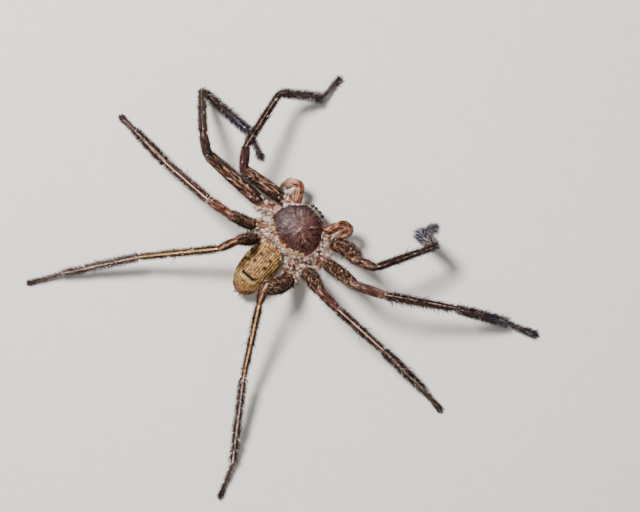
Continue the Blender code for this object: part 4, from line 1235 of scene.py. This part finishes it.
# Length of a leg's combs on its shin and on the piece past it
COMBS = {
    "l1": (0.5, 1.1), "l2": (0.5, 1.3), "l3": (0.7, 0.9), "l4": (0.5, 0.7),
    "r1": (0.5, 1.6), "r2": (1.4, 1.4), "r3": (0.7, 0.9), "r4": (0.5, 0.7),
}
COMB_SPACING = 0.45
COMB_WIDTH = 0.14
COMB_LIFT = 65
COMB_TURNS = (-84, -106, -128, 84, 106, 128)
spine_roots = {"points": [], "normals": [], "axis": [], "along": [], "turn": [], "length": [], "width": []}
draw = np.random.default_rng(77)
for leg in LEG_POSES:
    joints = leg_joints(leg)
    for piece, spots in SPINES.items():
        start, end = joints[piece], joints[piece + 1]
        size = np.linalg.norm(end - start)
        way = (end - start) / size
        side = np.cross(way, (0, 0, 1))
        side /= np.linalg.norm(side)
        up = np.cross(side, way)
        rows = [(part, turn, SPINE_LENGTH * (0.8 if turn == 0 else 1.0), SPINE_WIDTH) for part, turn in spots]
        if piece > THIGH:
            reach = COMBS[leg][piece - SHIN]
            turns = COMB_TURNS[3:] if (leg, piece) == ("r2", SHIN) else COMB_TURNS
            for part in np.arange(0.06, 0.97, COMB_SPACING / size):
                rows += [(part, turn, reach * draw.uniform(0.7, 1.15), COMB_WIDTH) for turn in turns]
        for part, turn, length, width in rows:
            part = part + draw.uniform(-0.02, 0.02)
            angle = math.radians(turn + draw.uniform(-8, 8))
            outward = up * math.cos(angle) + side * math.sin(angle)
            root = start + way * part * size + outward * (leg_radius(leg, piece, part) - 0.02)
            if piece == THIGH:
                root = root + thigh_bow(leg, part)
            values = (root, outward, way, part, angle, length, width)
            for name, value in zip(spine_roots, values):
                spine_roots[name].append(value)
spine_roots = {name: np.array(values) for name, values in spine_roots.items()}
lengths, widths = spine_roots["length"], spine_roots["width"]
shades = layered("#0a0606", ("#3a2a26", draw.random(len(lengths)) ** 1.5))
lay_hairs(
    "leg_spines", spine_roots, spine_roots["axis"], shades, bristle, "leg",
    lift=np.where(widths > COMB_WIDTH, SPINE_LIFT, COMB_LIFT), length=lengths, width=widths,
    lean=0.1, droop=0.8,
)


# Claws: each foot ends in a pad of dense short hairs that grips smooth ground, with two small curved claws
# above it, of polished black chitin.
CLAW_CURL = ((0, 0), (0.22, 0.05), (0.4, -0.05), (0.48, -0.22))
CLAW_RADII = (0.07, 0.06, 0.045, 0.015)
for leg in LEG_POSES:
    joints = leg_joints(leg)
    way = (joints[-1] - joints[-2]) / np.linalg.norm(joints[-1] - joints[-2])
    side = np.cross(way, (0, 0, 1))
    side /= np.linalg.norm(side)
    flat = way * (1, 1, 0) / np.linalg.norm(way * (1, 1, 0))
    claws = []
    for mirror in (1, -1):
        start = joints[-1] + way * 0.1 + side * mirror * 0.12 + np.array((0, 0, 0.1))
        curl = [start + flat * reach + (0, 0, rise) for reach, rise in CLAW_CURL]
        claws.append(rounded_tube(curl, CLAW_RADII, sides=10, spacing=0.05))
    place_piece("claws_" + leg, joined(claws), fang_chitin, "foot")


# Floor: a plain, pale studio sweep of matt card under the feet, with soft light from a broad lamp beside
# the camera, up and to its left, and a weaker fill from all round.
card = toned_surface(
    "matt_studio_card", "#d2cbc2", "#dbd5cd", grain=2.5, detail=4.0,
    sockets={"Roughness": 0.9, "Specular IOR Level": 0.2},
)
bm = bmesh.new()
bmesh.ops.create_grid(bm, x_segments=4, y_segments=4, size=1.5)
mesh = bpy.data.meshes.new("floor")
bm.to_mesh(mesh)
bm.free()
mesh.materials.append(card)
floor = bpy.data.objects.new("floor", mesh)
bpy.context.scene.collection.objects.link(floor)

IMAGE_RIGHT = Vector((-0.671, -0.741, 0.0))
IMAGE_UP = Vector((0.741, -0.671, 0.0))
aim = GROOVE + Vector((-0.0066, 0.00081, 0.0))


def lamp(name, place, size, power):
    """A soft lamp, so many metres across, that faces the animal."""
    light = bpy.data.lights.new(name, "AREA")
    light.size = size
    light.energy = power
    holder = bpy.data.objects.new(name, light)
    holder.location = place
    holder.rotation_euler = (aim - place).to_track_quat("-Z", "Y").to_euler()
    bpy.context.scene.collection.objects.link(holder)


lamp("key_lamp", aim + IMAGE_UP * 0.13 - IMAGE_RIGHT * 0.13 + Vector((0, 0, 0.34)), size=0.08, power=3.5)
lamp("fill_lamp", aim - IMAGE_UP * 0.3 + IMAGE_RIGHT * 0.3 + Vector((0, 0, 0.35)), size=0.4, power=0.7)
world = bpy.data.worlds.new("studio")
world.use_nodes = True
sky = world.node_tree.nodes["Background"]
sky.inputs["Color"].default_value = (0.95, 0.97, 1.0, 1)
sky.inputs["Strength"].default_value = 0.3
bpy.context.scene.world = world


# Camera: straight above, as the photograph looks down on the animal, with the head towards the upper
# right of the picture.
CAMERA_HEIGHT = 0.305
camera_data = bpy.data.cameras.new("camera")
camera_data.lens = 88.9
camera_data.sensor_width = 36
camera = bpy.data.objects.new("camera", camera_data)
turn = Matrix((IMAGE_RIGHT, IMAGE_UP, Vector((0, 0, 1)))).transposed().to_4x4()
camera.matrix_world = Matrix.Translation(aim + Vector((0, 0, CAMERA_HEIGHT))) @ turn
bpy.context.scene.collection.objects.link(camera)
bpy.context.scene.camera = camera
